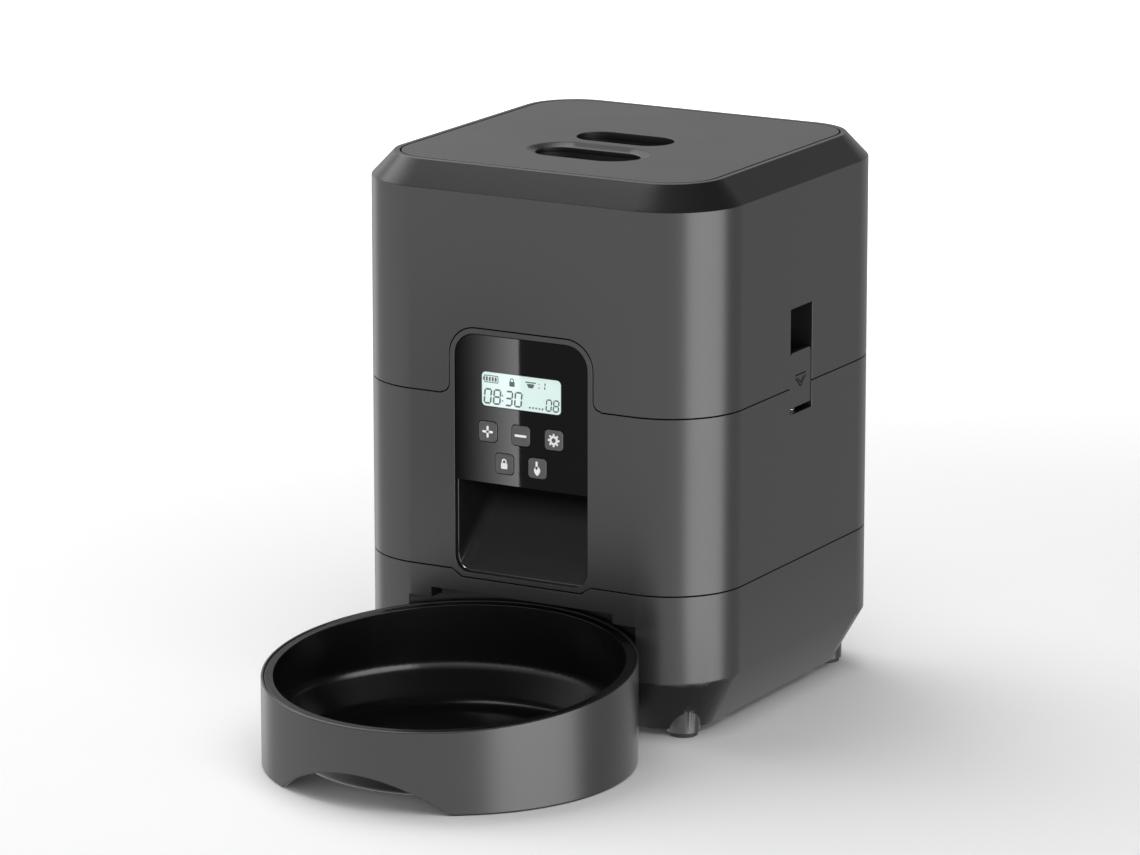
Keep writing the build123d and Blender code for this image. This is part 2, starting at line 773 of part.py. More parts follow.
def make_motor_pinion():
    """Small gear on the motor shaft."""
    turn = -90 + 180 / pinion_teeth
    pinion = extrude(Pos(0, motor_y, gear_bottom - 0.5) * gear_outline(pinion_teeth, turn),
                     gear_thickness + 1)
    return pinion - rod(0, motor_y, motor_shaft_radius + press_gap, 0, body_height)


def make_motor_shaft():
    """Motor shaft, from inside the motor's bearing to the top of the pinion."""
    return rod(0, motor_y, motor_shaft_radius, gearbox_bottom - 10, gear_bottom + gear_thickness + 1)


def make_drive_shaft():
    """Shaft from the gearbox floor up through the well, with the square dog that turns the rotor."""
    shaft = rod(0, rotor_y, shaft_radius, gearbox_bottom + 0.8, well_floor_top + 0.4)
    half = dog_size / 2
    return shaft + block(-half, half, rotor_y - half, rotor_y + half, well_floor_top + 0.4,
                         well_floor_top + 12)


def gearbox_profile(grow):
    """Gearbox outline round both gears."""
    big = Pos(0, rotor_y) * Circle(gearbox_outline_radius + grow)
    small = Pos(0, motor_y) * Circle(motor_radius + grow)
    link_half = motor_radius + grow
    link = Pos(0, (rotor_y + motor_y) / 2) * Rectangle(2 * link_half, motor_y - rotor_y)
    return big + small + link


def make_gearbox_case():
    """Open tray under the gears, with the shaft's lower bearing and the motor seat."""
    case = extrude(Pos(0, 0, gearbox_bottom) * gearbox_profile(0.0), gearbox_top - gearbox_bottom)
    case -= extrude(Pos(0, 0, gearbox_bottom + gearbox_wall) * gearbox_profile(-gearbox_wall),
                    gearbox_top - gearbox_bottom)
    case += rod(0, rotor_y, shaft_radius + 3, gearbox_bottom, gearbox_bottom + 2.4)
    for x, y in gearbox_screw_points:
        case += rod(x, y, boss_radius - 0.6, gearbox_bottom, gearbox_top)
    case -= rod(0, rotor_y, shaft_radius + run_gap, gearbox_bottom + 0.6, body_height)
    case -= rod(0, motor_y, 4.0, 0, body_height)
    case -= rod(0, rotor_y, gear_radius + gear_module + 0.6, gear_bottom - 1.6, body_height)
    for x, y in gearbox_screw_points:
        case -= rod(x, y, screw_radius + fit_gap, 0, body_height)
    return case


def make_gearbox_cover():
    """Flat lid over the gears, clamped up against the bosses of the well."""
    cover = extrude(Pos(0, 0, gearbox_top) * gearbox_profile(0.0), wall)
    for x, y in gearbox_screw_points:
        cover += rod(x, y, boss_radius - 0.6, gearbox_top, gearbox_top + wall)
    cover -= rod(0, rotor_y, shaft_radius + slide_gap, 0, body_height)
    for x, y in gearbox_screw_points:
        cover -= rod(x, y, screw_radius + fit_gap, 0, body_height)
    return cover


def make_gearbox_screws():
    """Four screws that hold the gearbox under the well."""
    length = well_floor_bottom - gearbox_bottom - 1.2
    return [screw_up(x, y, gearbox_bottom, length) for x, y in gearbox_screw_points]


def make_motor():
    """Small direct-current motor under the gearbox, with terminals at its lower end."""
    top = gearbox_bottom
    motor = rod(0, motor_y, motor_radius, top - motor_length, top)
    motor = chamfer(motor.edges().filter_by(GeomType.CIRCLE).group_by(Axis.Z)[0], 1.2)
    motor += rod(0, motor_y, 3.6, top, top + 1.6)
    motor += rod(0, motor_y, 4.5, top - motor_length - 1.5, top - motor_length)
    for side in (-1, 1):
        motor += block(side * 7 - 1.2, side * 7 + 1.2, motor_y - 0.3, motor_y + 0.3,
                       top - motor_length - 4, top - motor_length + 1)
    return motor - rod(0, motor_y, motor_shaft_radius + run_gap, top - 10.5, top + 5)


# ---- side latches ----
def make_side_latch(side):
    """Sliding latch plate with a guide block behind it, and a spring seat below."""
    half = latch_half_width
    plate_sketch = Pos(0, (latch_bottom + latch_top) / 2) * Rectangle(2 * half, latch_top - latch_bottom)
    plate_sketch = fillet(plate_sketch.vertices().group_by(Axis.Y)[-1], 2.0)
    outer = half_side - 0.3
    inner = outer - latch_thickness
    guide_low = latch_bottom + 4.0
    if side > 0:
        plate = side_prism(plate_sketch, inner, outer)
        plate += block(inner - 4.0, inner, -6, 6, guide_low, latch_top - 1.5)
    else:
        plate = side_prism(plate_sketch, -outer, -inner)
        plate += block(-inner, -inner + 4.0, -6, 6, guide_low, latch_top - 1.5)
    return plate


def make_latch_spring(side):
    """Return spring under the latch's guide block, drawn as its outer tube."""
    x = side * (half_side - 0.3 - latch_thickness - 2.2)
    spring = rod(x, 0, 1.8, latch_pocket_bottom, latch_bottom + 4.0)
    return spring - rod(x, 0, 1.0, 0, body_height)


# ---- tank ----
def make_tank_shell():
    """Upper shell with its chamfered rim, lid ledge, front notch and latch windows."""
    chamfer_start = body_height - rim_chamfer_height
    top_half = half_side - rim_chamfer_inset
    top_radius = corner_radius - rim_chamfer_inset
    shell = column(half_side, half_side, corner_radius, tank_seam, chamfer_start)
    shell += tapered(half_side, corner_radius, chamfer_start, top_half, top_radius, body_height)
    inner_half = half_side - wall
    inner_radius = corner_radius - wall
    ledge_top = lid_bottom
    ledge_bottom = ledge_top - tray_plate - 0.2
    hollow = column(inner_half, inner_half, inner_radius, tank_seam - 1, hopper_flange_top + 0.2)
    hollow += tapered(inner_half, inner_radius, hopper_flange_top + 0.2, throat_half + 5.0,
                      throat_radius + 5.0, ledge_bottom)
    shell -= hollow
    for x, y in hopper_screw_points:
        shell += rod(x, y, boss_radius - 0.8, hopper_flange_top + 0.2, ledge_bottom - tray_plate)
    shell -= column(throat_half, throat_half, throat_radius, ledge_bottom - 1, body_height)
    recess = lid_half + lid_groove
    shell -= column(recess, recess, top_radius - (top_half - recess), ledge_top, body_height + 1)
    for x, y in hopper_screw_points:
        shell -= rod(x, y, screw_radius, hopper_flange_top, ledge_bottom - tray_plate - 0.6)
    for side in (-1, 1):
        shell += latch_pocket(side, tank_seam, latch_pocket_top + 2, 2.0)
    for side in (-1, 1):
        shell -= latch_pocket(side, tank_seam - 1, latch_pocket_top, 0)
    notch = tab_outline(seam_gap, tank_seam - 2, opening_top + frame_width + seam_gap)
    return shell - front_prism(notch, front_face - 1, front_back + 1)


hopper_screw_points = corners(half_side - corner_radius, half_side - 7.4)


def make_hopper():
    """Food bin: straight upper walls, four sloping faces and the round rotor chamber below."""
    centre_y = (hopper_front + hopper_back) / 2
    half_y = (hopper_back - hopper_front) / 2
    round_half = chamber_radius + chamber_wall

    def bin_solid(shrink, top):
        upper = RectangleRounded(2 * (hopper_half_width - shrink), 2 * (half_y - shrink),
                                 hopper_corner - shrink)
        lower_half = round_half - shrink
        lower = RectangleRounded(2 * lower_half, 2 * lower_half, lower_half - 0.3)
        solid = extrude(Pos(0, centre_y, hopper_slope_top) * upper, top - hopper_slope_top)
        return solid + loft([Pos(0, rotor_y, hopper_slope_bottom) * lower,
                             Pos(0, centre_y, hopper_slope_top) * upper], ruled=True)

    hopper = bin_solid(0.0, hopper_flange_top)
    hopper += rod(0, rotor_y, round_half, well_floor_top, hopper_slope_bottom)
    flange_half = half_side - wall - slide_gap
    hopper += column(flange_half, flange_half, corner_radius - wall - slide_gap,
                     hopper_flange_top - 2.4, hopper_flange_top)
    hopper -= bin_solid(hopper_wall, hopper_flange_top + 1)
    hopper -= rod(0, rotor_y, chamber_radius, chamber_floor_top, hopper_slope_bottom + 0.5)
    hopper -= outlet_sector(well_floor_top - 1, chamber_floor_top + 1)
    hopper -= rod(0, rotor_y, dog_size * sqrt(2) / 2 + 0.8, well_floor_top - 1, chamber_floor_top + 1)
    for x, y in hopper_screw_points:
        hopper -= rod(x, y, screw_radius + fit_gap, hopper_flange_top - 3, hopper_flange_top + 1)
    return hopper


def make_hopper_screws():
    """Four screws up through the hopper's flange into the tank's rim."""
    return [screw_up(x, y, hopper_flange_top - 2.4, 5.2) for x, y in hopper_screw_points]


def make_outlet_baffle():
    """Rubber flap over the outlet that keeps food from falling straight through."""
    outer = chamber_radius - 0.05
    fan = rod(0, rotor_y, outer, rotor_top + 0.8, rotor_top + 2.4)
    fan -= rod(0, rotor_y, rotor_hub_radius + 3, 0, body_height)
    reach = 3 * outer
    spread = reach * tan(radians(outlet_half_angle + 6))
    wedge = make_face(Polyline((0, rotor_y), (-spread, rotor_y - reach), (spread, rotor_y - reach),
                               (0, rotor_y)))
    return fan & extrude(wedge, body_height)


rotor_bottom = chamber_floor_top + 0.3
rotor_top = rotor_bottom + rotor_height


def make_rotor():
    """Feed wheel: hub with a square socket and six stiff blades."""
    rotor = rod(0, rotor_y, rotor_hub_radius, rotor_bottom, rotor_top)
    for index in range(rotor_blade_count):
        angle = 360 / rotor_blade_count * (index + 0.5)
        half = rotor_blade_thickness / 2
        blade = block(rotor_hub_radius - 1, rotor_blade_radius, -half, half, rotor_bottom, rotor_top - 1)
        blade -= block(rotor_blade_radius - 5, rotor_blade_radius + 1, -wiper_thickness / 2,
                       wiper_thickness / 2, rotor_bottom - 1, rotor_top)
        rotor += Pos(0, rotor_y, 0) * Rot(0, 0, angle) * blade
    socket = dog_size / 2 + slide_gap
    rotor -= block(-socket, socket, rotor_y - socket, rotor_y + socket, rotor_bottom - 1,
                   well_floor_top + 12.4)
    return rotor - rod(0, rotor_y, 3.0, rotor_top - 4, rotor_top + 1)


def make_rotor_wipers():
    """Six soft tips that sweep the chamber wall."""
    wipers = []
    for index in range(rotor_blade_count):
        angle = 360 / rotor_blade_count * (index + 0.5)
        half = wiper_thickness / 2
        tip = block(rotor_blade_radius - 5, wiper_radius, -half, half, rotor_bottom + 0.2, rotor_top - 1.5)
        wipers.append(Pos(0, rotor_y, 0) * Rot(0, 0, angle) * tip)
    return wipers


def make_agitator():
    """Stirring finger pressed into the top of the rotor."""
    stem = rod(0, rotor_y, 3.0 - press_gap, rotor_top - 4, rotor_top)
    stem += rod(0, rotor_y, 6.0, rotor_top, rotor_top + agitator_height)
    bar_z = rotor_top + agitator_height - 4
    bar = rod_x(rotor_y, bar_z, 2.4, -agitator_reach, agitator_reach)
    top = Pos(0, rotor_y, rotor_top + agitator_height) * Sphere(6.0)
    return stem + bar + top


# ---- lid ----
def make_lid_panel():
    """Inset lid with a plain back slot and a dished front slot."""
    corner = corner_radius - rim_chamfer_inset - (half_side - rim_chamfer_inset - lid_half)
    panel = column(lid_half, lid_half, corner, lid_bottom, body_height)
    panel -= stadium(slot_half_length, slot_radius, back_slot_y, lid_bottom - 1, body_height + 1)
    panel -= stadium(front_slot_half_length, front_slot_radius, front_slot_y, lid_bottom - 1, body_height)
    low = Pos(0, front_slot_y, body_height - dish_rim_depth) * SlotOverall(2 * front_slot_half_length,
                                                                          2 * front_slot_radius)
    high = Pos(0, front_slot_y, body_height + 0.01) * SlotOverall(2 * dish_rim_half_length,
                                                                  2 * dish_rim_radius)
    panel -= loft([low, high], ruled=True)
    for x, y in lid_screw_points:
        panel -= rod(x, y, screw_radius, lid_bottom - 1, body_height - 1.2)
    return panel


lid_screw_points = corners(tray_half - 9.5, tray_half - 9.5)
front_well = (front_slot_half_length + well_margin, front_slot_radius + well_margin)
back_well = (slot_half_length + well_margin, slot_radius + well_margin)
latch_pad_front = front_slot_y - front_slot_radius - well_margin + 0.2
latch_arm_half = 7.0
latch_arm_bottom = tray_bottom - 2.2
lid_spring_x = 11.0
latch_lug_back = latch_pad_front - 8.0


def make_lid_tray():
    """Inner tray under the lid: two finger wells, latch guides and the desiccant cup."""
    tray = column(tray_half, tray_half, tray_corner, tray_bottom, lid_bottom)
    well_bottom = lid_bottom - well_depth
    for (half_length, radius), y in ((front_well, front_slot_y), (back_well, back_slot_y)):
        tray += stadium(half_length + 1.6, radius + 1.6, y, well_bottom - 1.6, tray_bottom)
    cup_bottom = tray_bottom - desiccant_depth
    tray += rod(0, desiccant_y, desiccant_radius + 1.6, cup_bottom, tray_bottom)
    for side in (-1, 1):
        rail_near = side * (latch_arm_half + slide_gap)
        rail_far = side * (latch_arm_half + slide_gap + 1.6)
        tray += block(min(rail_near, rail_far), max(rail_near, rail_far), -60, latch_lug_back - 5,
                      latch_arm_bottom, tray_bottom)
    tray -= rod(0, desiccant_y, desiccant_radius, cup_bottom - 1, tray_bottom)
    for (half_length, radius), y in ((front_well, front_slot_y), (back_well, back_slot_y)):
        tray -= stadium(half_length, radius, y, well_bottom, lid_bottom + 1)
    window = latch_arm_half + slide_gap
    tray -= block(-window, window, latch_pad_front - 6, latch_pad_front + 4, latch_arm_bottom - slide_gap,
                  tray_bottom)
    for x, y in lid_screw_points:
        tray -= rod(x, y, screw_radius + fit_gap, tray_bottom - 1, lid_bottom + 1)
    return tray


def make_lid_latch():
    """Squeeze latch: finger pad in the front well, arm under the tray and a tongue at the rim."""
    pad_back = latch_pad_front + latch_plate_thickness
    pad_half = front_slot_half_length - front_slot_radius - slide_gap
    pad = block(-pad_half, pad_half, latch_pad_front, pad_back, lid_bottom - well_depth + 0.4, tray_bottom - slide_gap)
    arm_top = tray_bottom - slide_gap
    arm = block(-latch_arm_half, latch_arm_half, -throat_half + slide_gap, pad_back, latch_arm_bottom, arm_top)
    lug_half = lid_spring_x + 2.0
    lug = block(-lug_half, lug_half, latch_lug_back - 1.6, latch_lug_back, latch_arm_bottom, arm_top)
    return pad + arm + lug


def make_lid_latch_springs():
    """Two short springs that push the latch forward, drawn as their outer tubes."""
    springs = []
    z = (latch_arm_bottom + tray_bottom - slide_gap) / 2
    back = front_slot_y - sqrt(front_well[1] ** 2) - 1.6
    for side in (-1, 1):
        tube = rod_y(side * lid_spring_x, z, 0.9, latch_lug_back, back)
        springs.append(tube - rod_y(side * lid_spring_x, z, 0.5, latch_lug_back - 1, back + 1))
    return springs


def make_lid_seal():
    """Soft ring round the tray that closes the throat."""
    outer = throat_half - slide_gap
    seal = column(outer, outer, throat_radius - slide_gap, tray_bottom + 0.2, lid_bottom)
    inner = tray_half + 0.1
    return seal - column(inner, inner, tray_corner + 0.1, 0, body_height + 1)


def make_lid_screws():
    """Four screws from the tray into the lid."""
    return [screw_up(x, y, tray_bottom, lid_thickness + tray_plate - 1.6) for x, y in lid_screw_points]


def make_desiccant_bag():
    """Bag of drying beads in the lid's cup, as a plain cushion."""
    bag = rod(0, desiccant_y, desiccant_radius - 1.0, tray_bottom - desiccant_depth + 3.4, tray_bottom - 0.3)
    return fillet(bag.edges().filter_by(GeomType.CIRCLE), 3.0)


def make_desiccant_cover():
    """Slotted cap that closes the desiccant cup from below."""
    bottom = tray_bottom - desiccant_depth
    cover = rod(0, desiccant_y, desiccant_radius - slide_gap, bottom, bottom + 2.0)
    for index in range(5):
        x = 6.0 * (index - 2)
        cover -= block(x - 1.1, x + 1.1, desiccant_y - 12, desiccant_y + 12, bottom - 1, bottom + 3)
    ring = rod(0, desiccant_y, desiccant_radius - slide_gap, bottom + 2.0, bottom + 3.0)
    return cover + (ring - rod(0, desiccant_y, desiccant_radius - 2.5, 0, body_height))


# ---- bowl ----
def make_bowl_stand():
    """Round stand with a tilted rim, an inner ledge for the dish and an arch in front."""
    stand = rod(0, bowl_centre_y, bowl_radius, 0, 2 * bowl_rim_height)
    stand -= rod(0, bowl_centre_y, bowl_radius - bowl_wall, -1, 3 * bowl_rim_height)
    stand -= half_space_above(bowl_rim_height)
    rebate = rod(0, bowl_centre_y, bowl_radius - bowl_rim_lip, 0, 2 * bowl_rim_height)
    stand -= rebate & half_space_above(bowl_rim_height, -bowl_ledge_depth)
    arch_radius = (arch_half_width ** 2 + arch_height ** 2) / (2 * arch_height)
    arch = rod_y(0, arch_height - arch_radius, arch_radius, bowl_centre_y - 2 * bowl_radius, bowl_centre_y)
    stand -= arch
    foot_edges = stand.edges().filter_by(lambda e: abs(e.position_at(0.5).Z) < 0.01)
    return chamfer(foot_edges, 0.5)


def make_bowl_dish():
    """Deep food dish whose tilted lip rests on the stand's ledge."""
    def bowl_solid(shrink, top):
        floor_z = dish_floor_height + shrink
        points = [(0, floor_z), (dish_floor_radius - shrink / 2, floor_z)]
        points += [(dish_radius - shrink, dish_shoulder_height), (dish_radius - shrink, top), (0, top)]
        profile = make_face(Plane.XZ * Polyline(*points, points[0]))
        solid = revolve(profile, Axis.Z)
        bends = solid.edges().filter_by(GeomType.CIRCLE)
        bends = bends.filter_by(lambda e: e.center().Z < dish_shoulder_height + 1 and e.radius > 20)
        return Pos(0, bowl_centre_y, 0) * fillet(bends, dish_bend)

    top = 2 * bowl_rim_height
    dish = bowl_solid(0.0, top)
    lip_low = -bowl_ledge_depth
    lip = rod(0, bowl_centre_y, bowl_radius - bowl_rim_lip - fit_gap, 0, top)
    lip &= half_space_above(bowl_rim_height, lip_low)
    dish += lip
    dish -= bowl_solid(dish_wall, top + 1)
    return dish - half_space_above(bowl_rim_height, -0.3)


pieces = {
    "base_housing": make_base_housing() + make_pin_lugs(),
    "foot_pads": make_foot_pads(),
    "battery_tray": make_battery_tray(),
    "battery_cells": make_battery_cells(),
    "battery_contacts": make_battery_contacts(),
    "battery_springs": make_battery_springs(),
    "battery_door": make_battery_door(),
    "battery_door_pins": make_door_pins(),
    "power_inlet": make_power_inlet(),
    "case_screws": make_case_screws(),
    "middle_housing": make_middle_housing(),
    "shaft_bushing": make_shaft_bushing(),
    "chute": make_chute(),
    "electronics_cover": make_electronics_cover(),
    "control_panel": make_control_panel(),
    "display_glass": make_display_glass(),
    "display_module": make_display_module(),
    "main_board": make_main_board(),
    "board_components": make_board_components(),
    "board_screws": make_board_screws(),
    "tact_switches": make_tact_switches(),
    "drive_gear": make_drive_gear(),
    "drive_shaft": make_drive_shaft(),
    "motor_pinion": make_motor_pinion(),
    "motor_shaft": make_motor_shaft(),
    "motor": make_motor(),
    "gearbox_case": make_gearbox_case(),
    "gearbox_cover": make_gearbox_cover(),
    "gearbox_screws": make_gearbox_screws(),
    "latch_right": make_side_latch(1),
    "latch_left": make_side_latch(-1),
    "latch_spring_right": make_latch_spring(1),
    "latch_spring_left": make_latch_spring(-1),
    "tank_shell": make_tank_shell(),
    "hopper": make_hopper(),
    "hopper_screws": make_hopper_screws(),
    "outlet_baffle": make_outlet_baffle(),
    "rotor": make_rotor(),
    "rotor_wipers": make_rotor_wipers(),
    "agitator": make_agitator(),
    "lid_panel": make_lid_panel(),
    "lid_tray": make_lid_tray(),
    "lid_latch": make_lid_latch(),
    "lid_latch_springs": make_lid_latch_springs(),
    "lid_seal": make_lid_seal(),
    "lid_screws": make_lid_screws(),
    "desiccant_bag": make_desiccant_bag(),
    "desiccant_cover": make_desiccant_cover(),
    "bowl_stand": make_bowl_stand(),
    "bowl_dish": make_bowl_dish(),
}
for button_name, (button_x, button_z) in button_places.items():
    pieces[button_name] = make_button(button_x, button_z)

os.makedirs("parts", exist_ok=True)
for name, shape in pieces.items():
    solids = shape if isinstance(shape, list) else list(shape.solids())
    moved = [Pos(0, origin_shift, 0) * solid for solid in solids]
    whole = moved[0] if len(moved) == 1 else Compound(children=[s for m in moved for s in m.solids()])
    export_step(whole, f"parts/{name}.step")
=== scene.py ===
import json
import logging
import math
from dataclasses import dataclass, field
from enum import Enum

import bmesh
import bpy
import numpy as np
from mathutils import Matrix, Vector

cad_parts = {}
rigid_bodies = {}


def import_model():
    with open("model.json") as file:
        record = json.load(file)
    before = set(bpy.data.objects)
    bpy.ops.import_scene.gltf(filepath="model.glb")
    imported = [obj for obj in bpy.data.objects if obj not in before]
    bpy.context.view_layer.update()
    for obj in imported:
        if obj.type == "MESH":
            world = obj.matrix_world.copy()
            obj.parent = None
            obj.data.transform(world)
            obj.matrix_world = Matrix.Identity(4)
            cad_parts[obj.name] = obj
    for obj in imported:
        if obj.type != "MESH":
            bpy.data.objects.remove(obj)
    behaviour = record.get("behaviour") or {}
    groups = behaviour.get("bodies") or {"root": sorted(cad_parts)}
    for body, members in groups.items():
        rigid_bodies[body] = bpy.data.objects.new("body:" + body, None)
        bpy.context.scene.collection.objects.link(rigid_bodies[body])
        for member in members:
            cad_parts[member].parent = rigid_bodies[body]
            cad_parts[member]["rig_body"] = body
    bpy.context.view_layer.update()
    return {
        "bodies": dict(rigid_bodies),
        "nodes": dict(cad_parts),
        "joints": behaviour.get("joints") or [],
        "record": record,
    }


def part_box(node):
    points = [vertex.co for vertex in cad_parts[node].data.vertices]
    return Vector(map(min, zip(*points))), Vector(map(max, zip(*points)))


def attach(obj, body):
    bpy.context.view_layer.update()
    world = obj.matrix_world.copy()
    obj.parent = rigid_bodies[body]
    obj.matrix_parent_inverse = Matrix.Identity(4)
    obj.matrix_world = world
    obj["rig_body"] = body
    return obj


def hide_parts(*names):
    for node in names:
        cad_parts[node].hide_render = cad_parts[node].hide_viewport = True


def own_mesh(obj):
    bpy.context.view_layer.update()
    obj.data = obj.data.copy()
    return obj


# Looks of an automatic pet feeder: finishes, rounded shells, printed marks, wound springs and soft pieces,
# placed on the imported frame. Lengths are metres; MM turns millimetres into metres.

MM = 0.001
LOG = logging.getLogger("pet_feeder")
WELD = 0.001 * MM
FLAT_ANGLE = math.radians(0.3)
EDGE_ANGLE = math.radians(32)
SMOOTH_ANGLE = math.radians(40)
COIL_STEPS = 28
WIRE_SIDES = 10
CLOSED_END = 0.12
Colour = tuple[float, float, float]


class Slot(Enum):
    """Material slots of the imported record."""

    SHELL = "charcoal_shell"
    GLOSS = "gloss_black"
    INNER = "black_inner"
    RUBBER = "soft_rubber"
    BUTTON = "button_grey"
    DISPLAY = "display_face"
    DISPLAY_FRAME = "display_frame"
    BOARD = "board_green"
    COMPONENT = "component_black"
    SWITCH = "switch_black"
    SCREW = "screw_steel"
    CONTACT = "plated_contact"
    BRASS = "bushing_brass"
    GEAR = "gear_white"
    MOTOR = "motor_can"
    GEARBOX = "gearbox_grey"
    HOPPER = "hopper_smoke"
    ROTOR = "rotor_grey"
    CELL = "cell_wrap"
    BAG = "bag_fabric"


def grey(level: float) -> Colour:
    """Neutral colour of one linear level."""
    return (level, level, level)


# ---- node trees ----
class Tree:
    """Adds and joins the nodes of one material, world or node group."""

    def __init__(self, tree: bpy.types.NodeTree) -> None:
        """Keeps the tree that the nodes go into."""
        self.tree = tree

    def add(self, kind: str, **settings: object) -> bpy.types.Node:
        """Adds a node.

        Args:
            kind: The node's type name.
            settings: Properties set on the node.

        Returns:
            The new node.
        """
        node = self.tree.nodes.new(kind)
        for key, value in settings.items():
            setattr(node, key, value)
        return node

    def join(self, source: bpy.types.NodeSocket, target: bpy.types.NodeSocket) -> None:
        """Links an output to an input."""
        self.tree.links.new(source, target)

    def math(self, operation: str, first: object, second: object = 0.0,
             clamp: bool = False) -> bpy.types.NodeSocket:
        """Adds a Math node.

        Args:
            operation: The node's operation.
            first: A socket or a number.
            second: A socket or a number.
            clamp: Whether the result stays between 0 and 1.

        Returns:
            The result's socket.
        """
        node = self.add("ShaderNodeMath", operation=operation, use_clamp=clamp)
        for index, value in enumerate((first, second)):
            if isinstance(value, bpy.types.NodeSocket):
                self.join(value, node.inputs[index])
            else:
                node.inputs[index].default_value = value
        return node.outputs[0]

    def scaled(self, vector: bpy.types.NodeSocket, scale: object) -> bpy.types.NodeSocket:
        """Multiplies a vector by one number, or by three.

        Args:
            vector: The vector's socket.
            scale: A socket or number for all three axes, or a tuple of three numbers.

        Returns:
            The scaled vector's socket.
        """
        if isinstance(scale, tuple):
            node = self.add("ShaderNodeVectorMath", operation="MULTIPLY")
            node.inputs[1].default_value = scale
        else:
            node = self.add("ShaderNodeVectorMath", operation="SCALE")
            if isinstance(scale, bpy.types.NodeSocket):
                self.join(scale, node.inputs["Scale"])
            else:
                node.inputs["Scale"].default_value = scale
        self.join(vector, node.inputs[0])
        return node.outputs[0]

    def noise(self, vector: bpy.types.NodeSocket, detail: float,
              roughness: float = 0.5) -> bpy.types.NodeSocket:
        """Adds a noise of unit scale.

        Args:
            vector: Where it is looked up.
            detail: How many finer layers it has.
            roughness: How strong the finer layers are.

        Returns:
            The noise's value, about 0.5 on average.
        """
        node = self.add("ShaderNodeTexNoise")
        node.inputs["Scale"].default_value = 1.0
        node.inputs["Detail"].default_value = detail
        node.inputs["Roughness"].default_value = roughness
        self.join(vector, node.inputs["Vector"])
        return node.outputs["Fac"]

    def ramp(self, value: bpy.types.NodeSocket, low: float, high: float, start: float = 0.0,
             end: float = 1.0) -> bpy.types.NodeSocket:
        """Maps a range smoothly to another.

        Args:
            value: The value to map.
            low: The value that becomes start.
            high: The value that becomes end.
            start: The lowest result.
            end: The highest result.

        Returns:
            The mapped value's socket.
        """
        node = self.add("ShaderNodeMapRange", interpolation_type="SMOOTHSTEP")
        for name, number in (("From Min", low), ("From Max", high), ("To Min", start), ("To Max", end)):
            node.inputs[name].default_value = number
        self.join(value, node.inputs["Value"])
        return node.outputs["Result"]


class Group:
    """A shader node group with named inputs and outputs, built once."""

    made: dict[str, bpy.types.NodeTree] = {}

    def __init__(self, name: str, inputs: dict[str, str], outputs: dict[str, str]) -> None:
        """Makes the empty group.

        Args:
            name: The group's name.
            inputs: Socket type of each input.
            outputs: Socket type of each output.
        """
        self.tree = bpy.data.node_groups.new(name, "ShaderNodeTree")
        for title, kind in inputs.items():
            self.tree.interface.new_socket(title, in_out="INPUT", socket_type=kind)
        for title, kind in outputs.items():
            self.tree.interface.new_socket(title, in_out="OUTPUT", socket_type=kind)
        self.nodes = Tree(self.tree)
        self.inputs = self.nodes.add("NodeGroupInput").outputs
        self.outputs = self.nodes.add("NodeGroupOutput").inputs
        Group.made[name] = self.tree

    @staticmethod
    def place(nodes: Tree, name: str, **inputs: object) -> bpy.types.Node:
        """Puts a built group into a material.

        Args:
            nodes: The material's tree.
            name: The group's name.
            inputs: A socket or a value for each input, with _ for a space.

        Returns:
            The group's node.
        """
        node = nodes.add("ShaderNodeGroup", node_tree=Group.made[name])
        for key, value in inputs.items():
            socket = node.inputs[key.replace("_", " ")]
            if isinstance(value, bpy.types.NodeSocket):
                nodes.join(value, socket)
            else:
                socket.default_value = value
        return node


FLOAT, VECTOR, COLOUR = "NodeSocketFloat", "NodeSocketVector", "NodeSocketColor"


